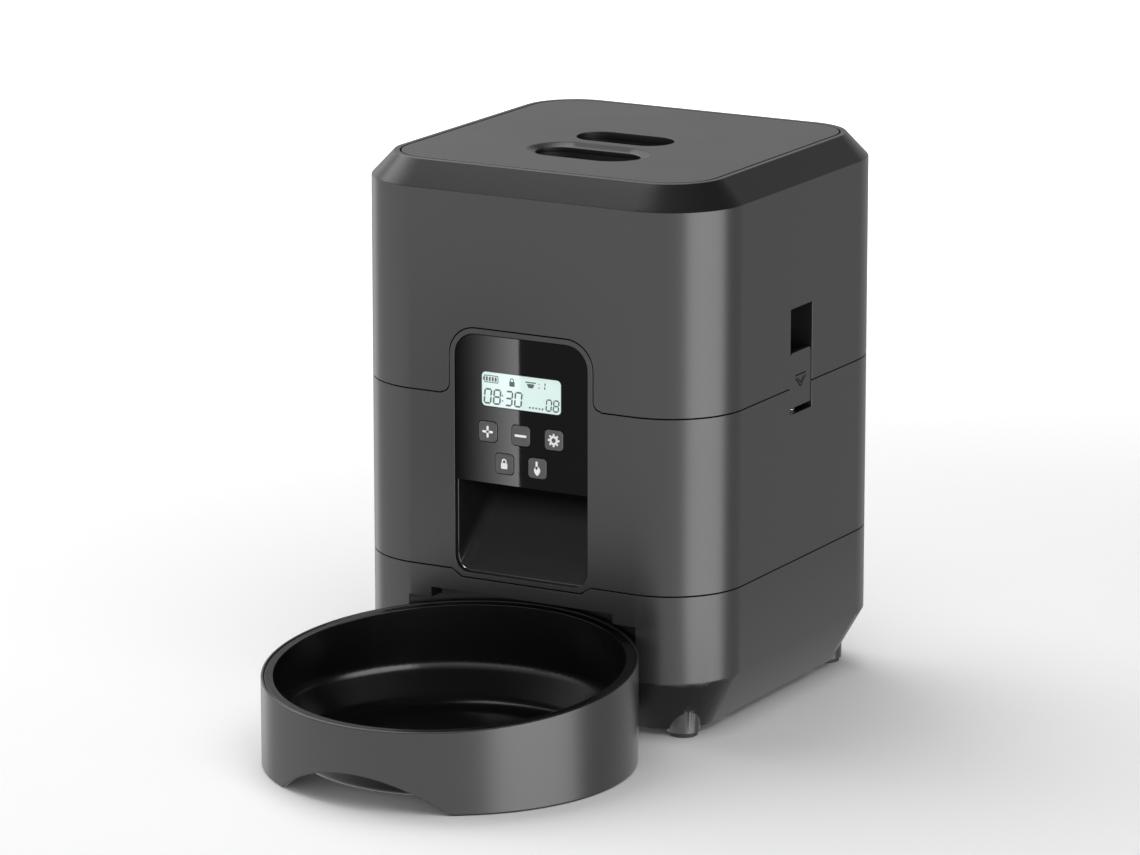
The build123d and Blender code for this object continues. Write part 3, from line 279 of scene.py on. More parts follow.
def build_groups() -> None:
    """Builds the effects that several finishes share."""
    grain = Group("Moulded grain", {"Vector": VECTOR, "Size": FLOAT}, {"Height": FLOAT})
    n = grain.nodes
    place = n.scaled(grain.inputs["Vector"], n.math("DIVIDE", 1.0, grain.inputs["Size"]))
    pits = n.add("ShaderNodeTexVoronoi", feature="SMOOTH_F1")
    pits.inputs["Scale"].default_value = 0.8
    n.join(place, pits.inputs["Vector"])
    fine = n.noise(place, 2.0)
    n.join(n.math("ADD", n.math("MULTIPLY", fine, 0.65), n.math("MULTIPLY", pits.outputs["Distance"], 0.35)),
           grain.outputs["Height"])

    tone = Group("Moulded tone", {"Vector": VECTOR, "Color": COLOUR, "Spread": FLOAT, "Edge": FLOAT},
                 {"Color": COLOUR, "Polish": FLOAT})
    n = tone.nodes
    broad = n.noise(n.scaled(tone.inputs["Vector"], 22.0), 3.0)
    flow = n.noise(n.scaled(tone.inputs["Vector"], (9.0, 9.0, 60.0)), 2.0)
    speck = n.noise(n.scaled(tone.inputs["Vector"], 1400.0), 1.0)
    mixed = n.math("ADD", n.math("MULTIPLY", broad, 0.5), n.math("MULTIPLY", flow, 0.3))
    mixed = n.math("ADD", mixed, n.math("MULTIPLY", speck, 0.2))
    # Edge marks the rounded edge faces: their colour is painted lighter below as a painted highlight, and
    # their roughness drops.
    edge_highlight = n.math("MULTIPLY", tone.inputs["Edge"], n.ramp(broad, 0.3, 0.7, 0.35, 1.0))
    gain = n.math("ADD", n.math("MULTIPLY", n.math("SUBTRACT", mixed, 0.5), tone.inputs["Spread"]), 1.0)
    gain = n.math("ADD", gain, n.math("MULTIPLY", edge_highlight, 0.5))
    colour = n.add("ShaderNodeVectorMath", operation="SCALE")
    n.join(tone.inputs["Color"], colour.inputs[0])
    n.join(gain, colour.inputs["Scale"])
    n.join(colour.outputs[0], tone.outputs["Color"])
    n.join(n.math("ADD", n.math("SUBTRACT", broad, 0.5), n.math("MULTIPLY", edge_highlight, -0.6)),
           tone.outputs["Polish"])

    smear = Group("Handling marks", {"Vector": VECTOR, "Amount": FLOAT}, {"Mask": FLOAT, "Height": FLOAT})
    n = smear.nodes
    wipes = n.noise(n.scaled(smear.inputs["Vector"], (70.0, 70.0, 22.0)), 5.0, 0.62)
    hair = n.add("ShaderNodeTexWave", wave_type="BANDS", bands_direction="DIAGONAL")
    hair.inputs["Scale"].default_value = 380.0
    hair.inputs["Distortion"].default_value = 24.0
    hair.inputs["Detail"].default_value = 3.0
    n.join(smear.inputs["Vector"], hair.inputs["Vector"])
    scratch = n.ramp(hair.outputs["Fac"], 0.94, 1.0)
    patches = n.ramp(wipes, 0.48, 0.72)
    marked = n.math("ADD", patches, n.math("MULTIPLY", scratch, 0.5))
    n.join(n.math("MULTIPLY", marked, smear.inputs["Amount"]), smear.outputs["Mask"])
    n.join(n.math("MULTIPLY", n.math("SUBTRACT", patches, scratch), smear.inputs["Amount"]),
           smear.outputs["Height"])

    drawn = Group("Drawn metal", {"Vector": VECTOR, "Stretch": FLOAT}, {"Height": FLOAT, "Mask": FLOAT})
    n = drawn.nodes
    along = n.scaled(drawn.inputs["Vector"], (1.0, 1.0, 0.03))
    lines = n.noise(n.scaled(along, drawn.inputs["Stretch"]), 3.0)
    stain = n.noise(n.scaled(drawn.inputs["Vector"], 180.0), 2.0)
    n.join(lines, drawn.outputs["Height"])
    mask = n.math("ADD", n.math("MULTIPLY", lines, 0.5), n.math("MULTIPLY", stain, 0.5))
    n.join(mask, drawn.outputs["Mask"])


# ---- finishes ----
@dataclass(frozen=True)
class Finish:
    """What every finish has: a title, a colour and a roughness."""

    title: str
    colour: Colour
    roughness: float

    def start(self) -> tuple[bpy.types.Material, Tree, bpy.types.Node, bpy.types.NodeSocket]:
        """Makes the material with its Principled shader.

        Returns:
            The material, its tree, its shader and its Object coordinates.
        """
        material = bpy.data.materials.new(self.title)
        material.use_nodes = True
        material.node_tree.nodes.clear()
        material.diffuse_color = (*self.colour, 1.0)
        nodes = Tree(material.node_tree)
        shader = nodes.add("ShaderNodeBsdfPrincipled")
        output = nodes.add("ShaderNodeOutputMaterial")
        nodes.join(shader.outputs[0], output.inputs["Surface"])
        place = nodes.add("ShaderNodeTexCoord").outputs["Object"]
        return material, nodes, shader, place

    @staticmethod
    def relief(nodes: Tree, shader: bpy.types.Node, height: bpy.types.NodeSocket, depth: float) -> None:
        """Feeds a height through a Bump node.

        Args:
            nodes: The material's tree.
            shader: The shader it shapes.
            height: The height, from 0 to 1.
            depth: What a height of 1 measures, in metres.
        """
        bump = nodes.add("ShaderNodeBump")
        bump.inputs["Distance"].default_value = depth
        nodes.join(height, bump.inputs["Height"])
        nodes.join(bump.outputs[0], shader.inputs["Normal"])


@dataclass(frozen=True)
class MouldedPlastic(Finish):
    """Injection-moulded plastic with a fine grain; its rounded edges are painted a little lighter, a painted
    highlight, and made a little glossier.
    """

    grain: float = 0.4 * MM
    depth: float = 0.006 * MM
    spread: float = 0.16
    polish: float = 0.14
    specular: float = 0.5

    def build(self) -> bpy.types.Material:
        """Builds the material."""
        material, nodes, shader, place = self.start()
        # The edge attribute feeds the painted edge highlight, which lightens the colour of the rounded faces.
        edge = nodes.add("ShaderNodeAttribute", attribute_name="edge")
        tone = Group.place(nodes, "Moulded tone", Vector=place, Color=(*self.colour, 1.0), Spread=self.spread,
                           Edge=edge.outputs["Fac"])
        nodes.join(tone.outputs["Color"], shader.inputs["Base Color"])
        roughness = nodes.math("MULTIPLY", tone.outputs["Polish"], self.polish)
        nodes.join(nodes.math("ADD", roughness, self.roughness, clamp=True), shader.inputs["Roughness"])
        shader.inputs["Specular IOR Level"].default_value = self.specular
        grain = Group.place(nodes, "Moulded grain", Vector=place, Size=self.grain)
        self.relief(nodes, shader, grain.outputs["Height"], self.depth)
        return material


@dataclass(frozen=True)
class PolishedPlastic(Finish):
    """Plastic moulded in a polished tool, with faint wipe marks in its gloss."""

    marks: float = 0.5
    specular: float = 0.5
    ripple: float = 0.002 * MM

    def build(self) -> bpy.types.Material:
        """Builds the material."""
        material, nodes, shader, place = self.start()
        marks = Group.place(nodes, "Handling marks", Vector=place, Amount=self.marks)
        tone = Group.place(nodes, "Moulded tone", Vector=place, Color=(*self.colour, 1.0), Spread=0.2,
                           Edge=0.0)
        nodes.join(tone.outputs["Color"], shader.inputs["Base Color"])
        wear_and_edge_highlight = nodes.math("MULTIPLY", marks.outputs["Mask"], 0.1)
        nodes.join(nodes.math("ADD", wear_and_edge_highlight, self.roughness, clamp=True), shader.inputs["Roughness"])
        shader.inputs["Specular IOR Level"].default_value = self.specular
        self.relief(nodes, shader, marks.outputs["Height"], self.ripple)
        return material


@dataclass(frozen=True)
class DrawnMetal(Finish):
    """Plated or drawn metal with fine lines along Z and uneven tarnish."""

    stretch: float = 5200.0
    depth: float = 0.004 * MM

    def build(self) -> bpy.types.Material:
        """Builds the material."""
        material, nodes, shader, place = self.start()
        lines = Group.place(nodes, "Drawn metal", Vector=place, Stretch=self.stretch)
        shader.inputs["Metallic"].default_value = 1.0
        gain = nodes.math("ADD", nodes.math("MULTIPLY", lines.outputs["Mask"], 0.3), 0.85)
        colour = nodes.add("ShaderNodeVectorMath", operation="SCALE")
        colour.inputs[0].default_value = self.colour
        nodes.join(gain, colour.inputs["Scale"])
        nodes.join(colour.outputs[0], shader.inputs["Base Color"])
        spread = nodes.math("MULTIPLY", lines.outputs["Mask"], 0.22)
        nodes.join(nodes.math("ADD", spread, self.roughness - 0.1, clamp=True), shader.inputs["Roughness"])
        self.relief(nodes, shader, lines.outputs["Height"], self.depth)
        return material


@dataclass(frozen=True)
class DisplayFace(Finish):
    """Reflective display under clear film: a pale face, a faint dot mesh and a soft painted glow, painted
    brightness standing in for the light the face reflects.
    """

    mesh_pitch: float = 0.22 * MM
    specular: float = 0.04
    glow: float = 0.42

    def build(self) -> bpy.types.Material:
        """Builds the material."""
        material, nodes, shader, place = self.start()
        lines = nodes.add("ShaderNodeTexBrick", offset=0.0, squash=1.0)
        lines.inputs["Scale"].default_value = 1.0
        lines.inputs["Brick Width"].default_value = self.mesh_pitch
        lines.inputs["Row Height"].default_value = self.mesh_pitch
        lines.inputs["Mortar Size"].default_value = self.mesh_pitch / 8
        for name, level in (("Color1", 1.0), ("Color2", 0.985), ("Mortar", 0.93)):
            lines.inputs[name].default_value = (*(level * c for c in self.colour), 1.0)
        turn = nodes.add("ShaderNodeMapping")
        turn.inputs["Rotation"].default_value = (math.radians(90), 0.0, 0.0)
        nodes.join(place, turn.inputs["Vector"])
        nodes.join(turn.outputs[0], lines.inputs["Vector"])
        nodes.join(lines.outputs["Color"], shader.inputs["Base Color"])
        # Emission on the face: painted brightness on a reflective display, which has no lamp of its own.
        nodes.join(lines.outputs["Color"], shader.inputs["Emission Color"])
        shader.inputs["Emission Strength"].default_value = self.glow
        shader.inputs["Specular IOR Level"].default_value = self.specular
        marks = Group.place(nodes, "Handling marks", Vector=place, Amount=0.12)
        nodes.join(nodes.math("ADD", nodes.math("MULTIPLY", marks.outputs["Mask"], 0.1), self.roughness),
                   shader.inputs["Roughness"])
        return material


@dataclass(frozen=True)
class CircuitBoard(Finish):
    """Solder mask over copper tracks, with tinned pads."""

    track: float = 0.9 * MM

    def build(self) -> bpy.types.Material:
        """Builds the material."""
        material, nodes, shader, place = self.start()
        tracks = nodes.add("ShaderNodeTexVoronoi", feature="F1", distance="CHEBYCHEV")
        nodes.join(nodes.scaled(place, 0.22 / self.track), tracks.inputs["Vector"])
        tracks.inputs["Scale"].default_value = 1.0
        mask = nodes.ramp(tracks.outputs["Distance"], 0.34, 0.38)
        pads = nodes.ramp(tracks.outputs["Distance"], 0.09, 0.07)
        mix = nodes.add("ShaderNodeMix", data_type="RGBA")
        mix.inputs["A"].default_value = (*self.colour, 1.0)
        mix.inputs["B"].default_value = (*(1.9 * c for c in self.colour), 1.0)
        nodes.join(mask, mix.inputs["Factor"])
        tin = nodes.add("ShaderNodeMix", data_type="RGBA")
        tin.inputs["B"].default_value = (*grey(0.6), 1.0)
        nodes.join(mix.outputs["Result"], tin.inputs["A"])
        nodes.join(pads, tin.inputs["Factor"])
        nodes.join(tin.outputs["Result"], shader.inputs["Base Color"])
        nodes.join(pads, shader.inputs["Metallic"])
        grain = Group.place(nodes, "Moulded grain", Vector=place, Size=0.6 * MM)
        nodes.join(nodes.math("ADD", nodes.math("MULTIPLY", grain.outputs["Height"], 0.2), self.roughness),
                   shader.inputs["Roughness"])
        self.relief(nodes, shader, nodes.math("SUBTRACT", mask, pads), 0.03 * MM)
        return material


@dataclass(frozen=True)
class WovenCloth(Finish):
    """Plain-woven cloth whose threads follow the piece's own UV map, painted darker in the low gaps of the
    weave as painted shade.
    """

    threads: float = 90.0
    depth: float = 0.08 * MM

    def build(self) -> bpy.types.Material:
        """Builds the material."""
        material, nodes, shader, place = self.start()
        uv = nodes.add("ShaderNodeUVMap", uv_map="cloth").outputs[0]
        heights = []
        for direction in ("X", "Y"):
            wave = nodes.add("ShaderNodeTexWave", wave_type="BANDS", bands_direction=direction)
            wave.inputs["Scale"].default_value = self.threads
            wave.inputs["Distortion"].default_value = 0.6
            nodes.join(uv, wave.inputs["Vector"])
            heights.append(wave.outputs["Fac"])
        weave = nodes.math("MAXIMUM", *heights)
        fibre = Group.place(nodes, "Moulded grain", Vector=place, Size=0.3 * MM)
        height = nodes.math("ADD", weave, nodes.math("MULTIPLY", fibre.outputs["Height"], 0.3))
        # The colour darkens where the weave is low: painted shade between the threads.
        colour = nodes.add("ShaderNodeVectorMath", operation="SCALE")
        colour.inputs[0].default_value = self.colour
        nodes.join(nodes.ramp(height, 0.2, 1.3, 0.72, 1.0), colour.inputs["Scale"])
        nodes.join(colour.outputs[0], shader.inputs["Base Color"])
        shader.inputs["Roughness"].default_value = self.roughness
        shader.inputs["Sheen Weight"].default_value = 0.3
        self.relief(nodes, shader, height, self.depth)
        return material


SHELL_GREY = grey(0.007)
FINISHES: dict[Slot, Finish] = {
    Slot.SHELL: MouldedPlastic("Charcoal satin shell", SHELL_GREY, 0.31, polish=0.05, spread=0.1),
    Slot.GLOSS: PolishedPlastic("Polished black", grey(0.006), 0.1, specular=0.4),
    Slot.INNER: MouldedPlastic("Matt black inner", grey(0.012), 0.5, grain=0.5 * MM),
    Slot.RUBBER: MouldedPlastic("Soft black rubber", grey(0.02), 0.72, grain=0.25 * MM, depth=0.012 * MM,
                                specular=0.3),
    Slot.BUTTON: MouldedPlastic("Satin key grey", grey(0.045), 0.4, grain=0.2 * MM, depth=0.003 * MM),
    Slot.DISPLAY: DisplayFace("Display face", (0.53, 0.645, 0.62), 0.03),
    Slot.DISPLAY_FRAME: MouldedPlastic("Display frame", (0.55, 0.55, 0.5), 0.5),
    Slot.BOARD: CircuitBoard("Circuit board", (0.01, 0.09, 0.035), 0.3),
    Slot.COMPONENT: MouldedPlastic("Component black", grey(0.02), 0.45, grain=0.15 * MM),
    Slot.SWITCH: MouldedPlastic("Switch black", grey(0.016), 0.4, grain=0.15 * MM),
    Slot.SCREW: DrawnMetal("Zinc-plated steel", grey(0.55), 0.34),
    Slot.CONTACT: DrawnMetal("Nickel-plated strip", (0.62, 0.6, 0.56), 0.26),
    Slot.BRASS: DrawnMetal("Sintered brass", (0.62, 0.44, 0.18), 0.42, stretch=2600.0),
    Slot.GEAR: MouldedPlastic("Natural gear plastic", (0.74, 0.73, 0.66), 0.38, grain=0.5 * MM),
    Slot.MOTOR: DrawnMetal("Drawn steel can", grey(0.5), 0.3),
    Slot.GEARBOX: MouldedPlastic("Gearbox grey", (0.16, 0.165, 0.17), 0.46, grain=0.5 * MM),
    Slot.HOPPER: PolishedPlastic("Smooth dark bin", grey(0.014), 0.22, marks=0.35, specular=0.45),
    Slot.ROTOR: MouldedPlastic("Light grey rotor", grey(0.34), 0.4, grain=0.5 * MM),
    Slot.CELL: PolishedPlastic("Dark cell wrap", (0.012, 0.012, 0.016), 0.28, marks=0.3),
    Slot.BAG: WovenCloth("White woven sachet", (0.8, 0.8, 0.76), 0.85),
}
SMOKED_PANEL = PolishedPlastic("Smoked panel film", grey(0.003), 0.02, marks=0.12, specular=0.04,
                               ripple=0.0002 * MM)
DISH_BLACK = PolishedPlastic("Semi-gloss dish black", grey(0.004), 0.2, marks=0.3, specular=0.4)
WHITE_INK = MouldedPlastic("White key print", grey(0.82), 0.45, grain=0.12 * MM, depth=0.002 * MM,
                           spread=0.06)
DISPLAY_INK = MouldedPlastic("Display segment grey", (0.1, 0.125, 0.125), 0.25, grain=0.1 * MM,
                             depth=0.001 * MM, spread=0.1, specular=0.04)
LATCH_LINE = MouldedPlastic("Latch line black", grey(0.004), 0.8, grain=0.15 * MM, depth=0.002 * MM,
                            specular=0.04)


class Paintbox:
    """Builds each finish once and hands it out."""

    def __init__(self) -> None:
        """Starts with nothing built."""
        self.built: dict[str, bpy.types.Material] = {}

    def take(self, finish: Finish) -> bpy.types.Material:
        """Returns the finish's material, building it the first time."""
        if finish.title not in self.built:
            self.built[finish.title] = finish.build()
        return self.built[finish.title]

    def dress(self, piece: bpy.types.Object, finish: Finish) -> None:
        """Gives a piece one finish all over."""
        piece.data.materials.clear()
        piece.data.materials.append(self.take(finish))


# ---- meshes ----
@dataclass
class MeshPlan:
    """Points and faces of one piece, gathered as whole arrays."""

    points: list[np.ndarray] = field(default_factory=list)
    faces: list[np.ndarray] = field(default_factory=list)
    caps: list[np.ndarray] = field(default_factory=list)
    count: int = 0

    def grid(self, points: np.ndarray, wrap_rows: bool = False) -> None:
        """Adds a closed surface from a grid of points.

        Cell (i, j) is the quad between rows i, i+1 and columns j, j+1, and the last column joins the first.

        Args:
            points: Array of rows by columns by 3.
            wrap_rows: Whether the last row joins the first; if not, both are closed by a flat face.
        """
        rows, columns = points.shape[:2]
        index = np.arange(rows * columns).reshape(rows, columns) + self.count
        along = index if not wrap_rows else np.vstack([index, index[:1]])
        across = np.hstack([along, along[:, :1]])
        quads = np.stack([across[:-1, :-1], across[:-1, 1:], across[1:, 1:], across[1:, :-1]], axis=-1)
        self.faces.append(quads.reshape(-1, 4))
        if not wrap_rows:
            self.caps += [index[0][::-1], index[-1]]
        self.points.append(points.reshape(-1, 3))
        self.count += rows * columns

    def plate(self, outline: np.ndarray, place: "Place", thickness: float) -> None:
        """Adds a flat mark: its outline carried from just under the surface to its thickness above it.

        Args:
            outline: Points of the outline, anticlockwise, as n by 2 in metres.
            place: The surface that it lies on.
            thickness: How far it stands proud, in metres.
        """
        low, high = place.lift(outline, -thickness), place.lift(outline, thickness)
        self.grid(np.stack([low, high]))

    def piece(self, name: str, smooth: bool = False) -> bpy.types.Object:
        """Makes the object.

        Args:
            name: The piece's name.
            smooth: Whether its faces are shaded smooth.

        Returns:
            The new object, at the origin.
        """
        mesh = bpy.data.meshes.new(name)
        faces = [face for block in self.faces for face in block.tolist()]
        faces += [cap.tolist() for cap in self.caps]
        mesh.from_pydata(np.concatenate(self.points), [], faces)
        mesh.validate()
        work = bmesh.new()
        work.from_mesh(mesh)
        bmesh.ops.recalc_face_normals(work, faces=work.faces)
        work.to_mesh(mesh)
        work.free()
        mesh.polygons.foreach_set("use_smooth", [smooth] * len(mesh.polygons))
        if smooth:
            mesh.set_sharp_from_angle(angle=SMOOTH_ANGLE)
        piece = bpy.data.objects.new(name, mesh)
        bpy.context.scene.collection.objects.link(piece)
        return piece


@dataclass(frozen=True)
class Place:
    """A flat surface to draw on: its centre, its right and up directions, and outwards across them."""

    centre: tuple[float, float, float]
    right: tuple[float, float, float]
    up: tuple[float, float, float] = (0.0, 0.0, 1.0)

    def lift(self, outline: np.ndarray, height: float) -> np.ndarray:
        """Puts outline points on the surface: centre + x right + y up + height outwards.

        Args:
            outline: Points as n by 2.
            height: Distance outwards.

        Returns:
            Points as n by 3.
        """
        right, up = np.array(self.right), np.array(self.up)
        flat = outline[:, :1] * right + outline[:, 1:] * up
        return np.array(self.centre) + flat + height * np.cross(right, up)


def rounded_bar(x: float, y: float, width: float, height: float, radius: float, steps: int = 5) -> np.ndarray:
    """Outline of a rounded rectangle: four corner centres, each plus a quarter circle.

    Args:
        x: Centre across.
        y: Centre up.
        width: Size across.
        height: Size up.
        radius: Corner radius.
        steps: Points along each corner.

    Returns:
        Points as n by 2, anticlockwise.
    """
    turn = np.linspace(0, np.pi / 2, steps)
    quarter = np.arange(4)[:, None] * np.pi / 2 + turn
    signs = np.array([(1, 1), (-1, 1), (-1, -1), (1, -1)])[:, None, :]
    inner = np.array([width / 2 - radius, height / 2 - radius])
    arc = radius * np.stack([np.cos(quarter), np.sin(quarter)], axis=-1)
    return (np.array([x, y]) + signs * inner + arc).reshape(-1, 2)


def arc_band(x: float, y: float, radius: float, width: float, start: float, end: float,
             steps: int = 20) -> np.ndarray:
    """Outline of a bent bar: an outer arc out and an inner arc back, about one centre.

    Args:
        x: Centre across.
        y: Centre up.
        radius: Radius of the middle line.
        width: Width of the bar.
        start: First angle in degrees.
        end: Last angle in degrees.
        steps: Points along each arc.

    Returns:
        Points as n by 2, anticlockwise.
    """
    turn = np.radians(np.linspace(start, end, steps))
    circle = np.stack([np.cos(turn), np.sin(turn)], axis=-1)
    outer, inner = circle * (radius + width / 2), circle[::-1] * (radius - width / 2)
    return np.array([x, y]) + np.concatenate([outer, inner])


def stroke(start: tuple[float, float], end: tuple[float, float], width: float,
           point: float = 0.0) -> np.ndarray:
    """Outline of a straight bar between two points, its ends drawn out to points.

    Args:
        start: First end.
        end: Second end.
        width: Width of the bar.
        point: How far each end's tip reaches past its corners.

    Returns:
        Points as 6 by 2, anticlockwise.
    """
    a, b = np.array(start), np.array(end)
    along = (b - a) / np.linalg.norm(b - a)
    side = np.array([-along[1], along[0]]) * width / 2
    return np.array([a, a + point * along - side, b - point * along - side, b, b - point * along + side,
                     a + point * along + side])


DIGIT_SEGMENTS = {"0": "abcdef", "1": "bc", "3": "abcdg", "8": "abcdefg"}


def digit(shown: str, x: float, y: float, width: float, height: float, line: float) -> list[np.ndarray]:
    """Outlines of a seven-segment digit with its lower left corner at (x, y) and a slight lean.

    Args:
        shown: The digit.
        x: Left edge.
        y: Lower edge.
        width: Size across.
        height: Size up.
        line: Width of a segment.

    Returns:
        One outline for each lit segment.
    """
    half, gap = height / 2, line * 0.18
    ends = {
        "a": ((0, height), (width, height)), "b": ((width, height), (width, half)),
        "c": ((width, half), (width, 0)), "d": ((width, 0), (0, 0)), "e": ((0, 0), (0, half)),
        "f": ((0, half), (0, height)), "g": ((0, half), (width, half)),
    }
    outlines = []
    for name in DIGIT_SEGMENTS[shown]:
        start, end = (np.array(p, float) for p in ends[name])
        along = (end - start) / np.linalg.norm(end - start) * gap
        bar = stroke(tuple(start + along), tuple(end - along), line, line / 2)
        lean = bar + np.stack([bar[:, 1] * 0.09, np.zeros(len(bar))], axis=-1)
        outlines.append(lean + np.array([x, y]))
    return outlines


def padlock(x: float, y: float, width: float, line: float) -> list[np.ndarray]:
    """Outlines of a closed padlock: a filled body under a bent shackle.

    Args:
        x: Centre across.
        y: Lower edge.
        width: Size of the body.
        line: Width of the shackle.

    Returns:
        Its outlines.
    """
    body_height = width * 0.82
    shackle = width * 0.29
    top = y + body_height + width * 0.22
    legs = [stroke((leg, y + body_height * 0.9), (leg, top), line) for leg in (x - shackle, x + shackle)]
    body = rounded_bar(x, y + body_height / 2, width, body_height, width * 0.12)
    return [body, arc_band(x, top, shackle, line, 0, 180), *legs]


def coil(plan: MeshPlan, start: np.ndarray, axis: np.ndarray, length: float, radii: tuple[float, float],
         turns: float, wire: float) -> None:
    """Adds a wound spring: a circle of wire along a helix whose radius runs from one value to another.

    The helix is start + axis * length * t + r(t) * (cos(a) u + sin(a) v), with a = 2 pi turns t.

    Args:
        plan: The mesh it goes into.
        start: Centre of the first turn.
        axis: Unit direction of the spring.
        length: Length along the axis.
        radii: Radius of the first and last turn, to the wire's centre.
        turns: Number of turns.
        wire: Radius of the wire.
    """
    t = np.linspace(0, 1, int(turns * COIL_STEPS) + 1)[:, None]
    u = np.cross(axis, (0.0, 0.0, 1.0) if abs(axis[2]) < 0.9 else (1.0, 0.0, 0.0))
    u = u / np.linalg.norm(u)
    v = np.cross(axis, u)
    angle = 2 * np.pi * turns * t
    radial = np.cos(angle) * u + np.sin(angle) * v
    ends = np.clip((t - CLOSED_END) / (1 - 2 * CLOSED_END), 0, 1)
    path = start + axis * length * ends + (radii[0] + (radii[1] - radii[0]) * t) * radial
    tangent = np.gradient(path, axis=0)
    tangent /= np.linalg.norm(tangent, axis=1, keepdims=True)
    binormal = np.cross(tangent, radial)
    ring = np.linspace(0, 2 * np.pi, WIRE_SIDES, endpoint=False)[None, :, None]
    plan.grid(path[:, None] + wire * (np.cos(ring) * radial[:, None] + np.sin(ring) * binormal[:, None]))


def turned(plan: MeshPlan, centre: tuple[float, float, float], profile: np.ndarray, sides: int = 48) -> None:
    """Adds a turned shape: each profile point (r, z) goes once round the upright axis through centre.

    Args:
        plan: The mesh it goes into.
        centre: Foot of the axis.
        profile: Points as n by 2, from one end to the other.
        sides: Points round.
    """
    angle = np.linspace(0, 2 * np.pi, sides, endpoint=False)
    circle = np.stack([np.cos(angle), np.sin(angle), np.zeros(sides)], axis=-1)
    rise = np.array([0.0, 0.0, 1.0])
    plan.grid(np.array(centre) + profile[:, :1, None] * circle + profile[:, 1:, None] * rise)


class Workshop:
    """Makes pieces, dresses them and puts them on their bodies."""

    def __init__(self, packed: dict) -> None:
        """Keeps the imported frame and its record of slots."""
        self.nodes = packed["nodes"]
        self.paint = Paintbox()
        self.slots = {part["node"]: Slot(part["material_slot"]) for part in packed["record"]["subparts"]}

    def body(self, node: str) -> str:
        """Name of the body that a CAD node rides on."""
        return self.nodes[node]["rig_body"]

    def finish(self, piece: bpy.types.Object, body: str, slot: Slot, look: Finish | None = None,
               replaced: tuple[str, ...] = ()) -> None:
        """Dresses a new piece and puts it on its body.

        Args:
            piece: The piece.
            body: The body it rides on.
            slot: Its material slot in the record.
            look: Its finish, if not the slot's own.
            replaced: The CAD nodes it stands for.
        """
        self.paint.dress(piece, look or FINISHES[slot])
        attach(piece, body)
        if replaced:
            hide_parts(*replaced)
        LOG.info("%s rides on %s", piece.name, body)

    def dress_nodes(self) -> None:
        """Gives every CAD node the finish of its slot."""
        for name, node in self.nodes.items():
            self.paint.dress(node, FINISHES[self.slots[name]])

    def rounded(self, node: str, width: float, segments: int = 2,
                look: Finish | None = None) -> bpy.types.Object:
        """Stands in for a CAD node with a merged copy whose sharp edges have a small radius.

        Args:
            node: The CAD node.
            width: How far the rounding reaches from an edge, in metres.
            segments: Faces across each rounded edge.
            look: Its finish, if not the slot's own.

        Returns:
            The new piece.
        """
        work = bmesh.new()
        work.from_mesh(self.nodes[node].data)
        bmesh.ops.remove_doubles(work, verts=work.verts, dist=WELD)
        bmesh.ops.dissolve_limit(work, angle_limit=FLAT_ANGLE, verts=work.verts, edges=work.edges)
        sharp = [e for e in work.edges if e.is_manifold and e.calc_face_angle(0) > EDGE_ANGLE]
        joined = list({v for e in sharp for v in e.verts})
        made = bmesh.ops.bevel(work, geom=sharp + joined, offset=width, offset_type="OFFSET",
                               segments=segments, profile=0.5, clamp_overlap=False, affect="EDGES",
                               miter_outer="ARC")
        work.faces.index_update()
        # The rounded faces are marked here for the painted edge highlight, a lighter colour on the edges.
        wear_and_edge_highlight = np.zeros(len(work.faces), np.float32)
        wear_and_edge_highlight[[face.index for face in made["faces"]]] = 1.0
        mesh = bpy.data.meshes.new(node + "_rounded")
        work.to_mesh(mesh)
        work.free()
        mesh.attributes.new("edge", "FLOAT", "FACE").data.foreach_set("value", wear_and_edge_highlight)
        mesh.polygons.foreach_set("use_smooth", [True] * len(mesh.polygons))
        piece = bpy.data.objects.new(mesh.name, mesh)
        bpy.context.scene.collection.objects.link(piece)
        piece.modifiers.new("Even normals", "WEIGHTED_NORMAL").weight = 50
        self.finish(piece, self.body(node), self.slots[node], look, replaced=(node,))
        return piece


# ---- sub-assemblies ----
@dataclass
class Shells:
    """Outer shells, bin and feet: the moulded case of the feeder."""

    seam_round: float = 0.22 * MM
    pad_radius: float = 5.9 * MM
    pad_round: float = 0.5 * MM
    pad_groove: float = 0.35 * MM

    def build(self, shop: Workshop) -> None:
        """Rounds the shells' edges and turns the four foot pads."""
        for node in ("base_housing", "middle_housing", "tank_shell", "lid_panel", "battery_door", "hopper",
                     "lid_tray", "lid_latch", "desiccant_cover", "rotor", "outlet_baffle", "power_inlet"):
            shop.rounded(node, self.seam_round)
        self.foot_pads(shop)

    def foot_pads(self, shop: Workshop) -> None:
        """Turns one grooved rubber pad under each foot: flat tread, two ring grooves and a rounded edge."""
        low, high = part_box("foot_pads")
        radius, height = self.pad_radius, high.z - low.z
        bend = np.linspace(0, np.pi / 2, 6)
        round_x = radius - self.pad_round + self.pad_round * np.sin(bend)
        round_z = self.pad_round - self.pad_round * np.cos(bend)
        tread = [(0.0004, 0.0), (0.34 * radius, 0.0), (0.40 * radius, self.pad_groove), (0.46 * radius, 0.0),
                 (0.62 * radius, 0.0), (0.68 * radius, self.pad_groove), (0.74 * radius, 0.0)]
        edge = np.stack([round_x, round_z], axis=-1)
        profile = np.concatenate([tread, edge, [(radius, height), (0.0004, height)]])
        plan = MeshPlan()
        for x in (low.x + radius, high.x - radius):
            for y in (low.y + radius, high.y - radius):
                turned(plan, (x, y, low.z), profile)
        shop.finish(plan.piece("foot_pads_turned", smooth=True), shop.body("foot_pads"), Slot.RUBBER,
                    replaced=("foot_pads",))


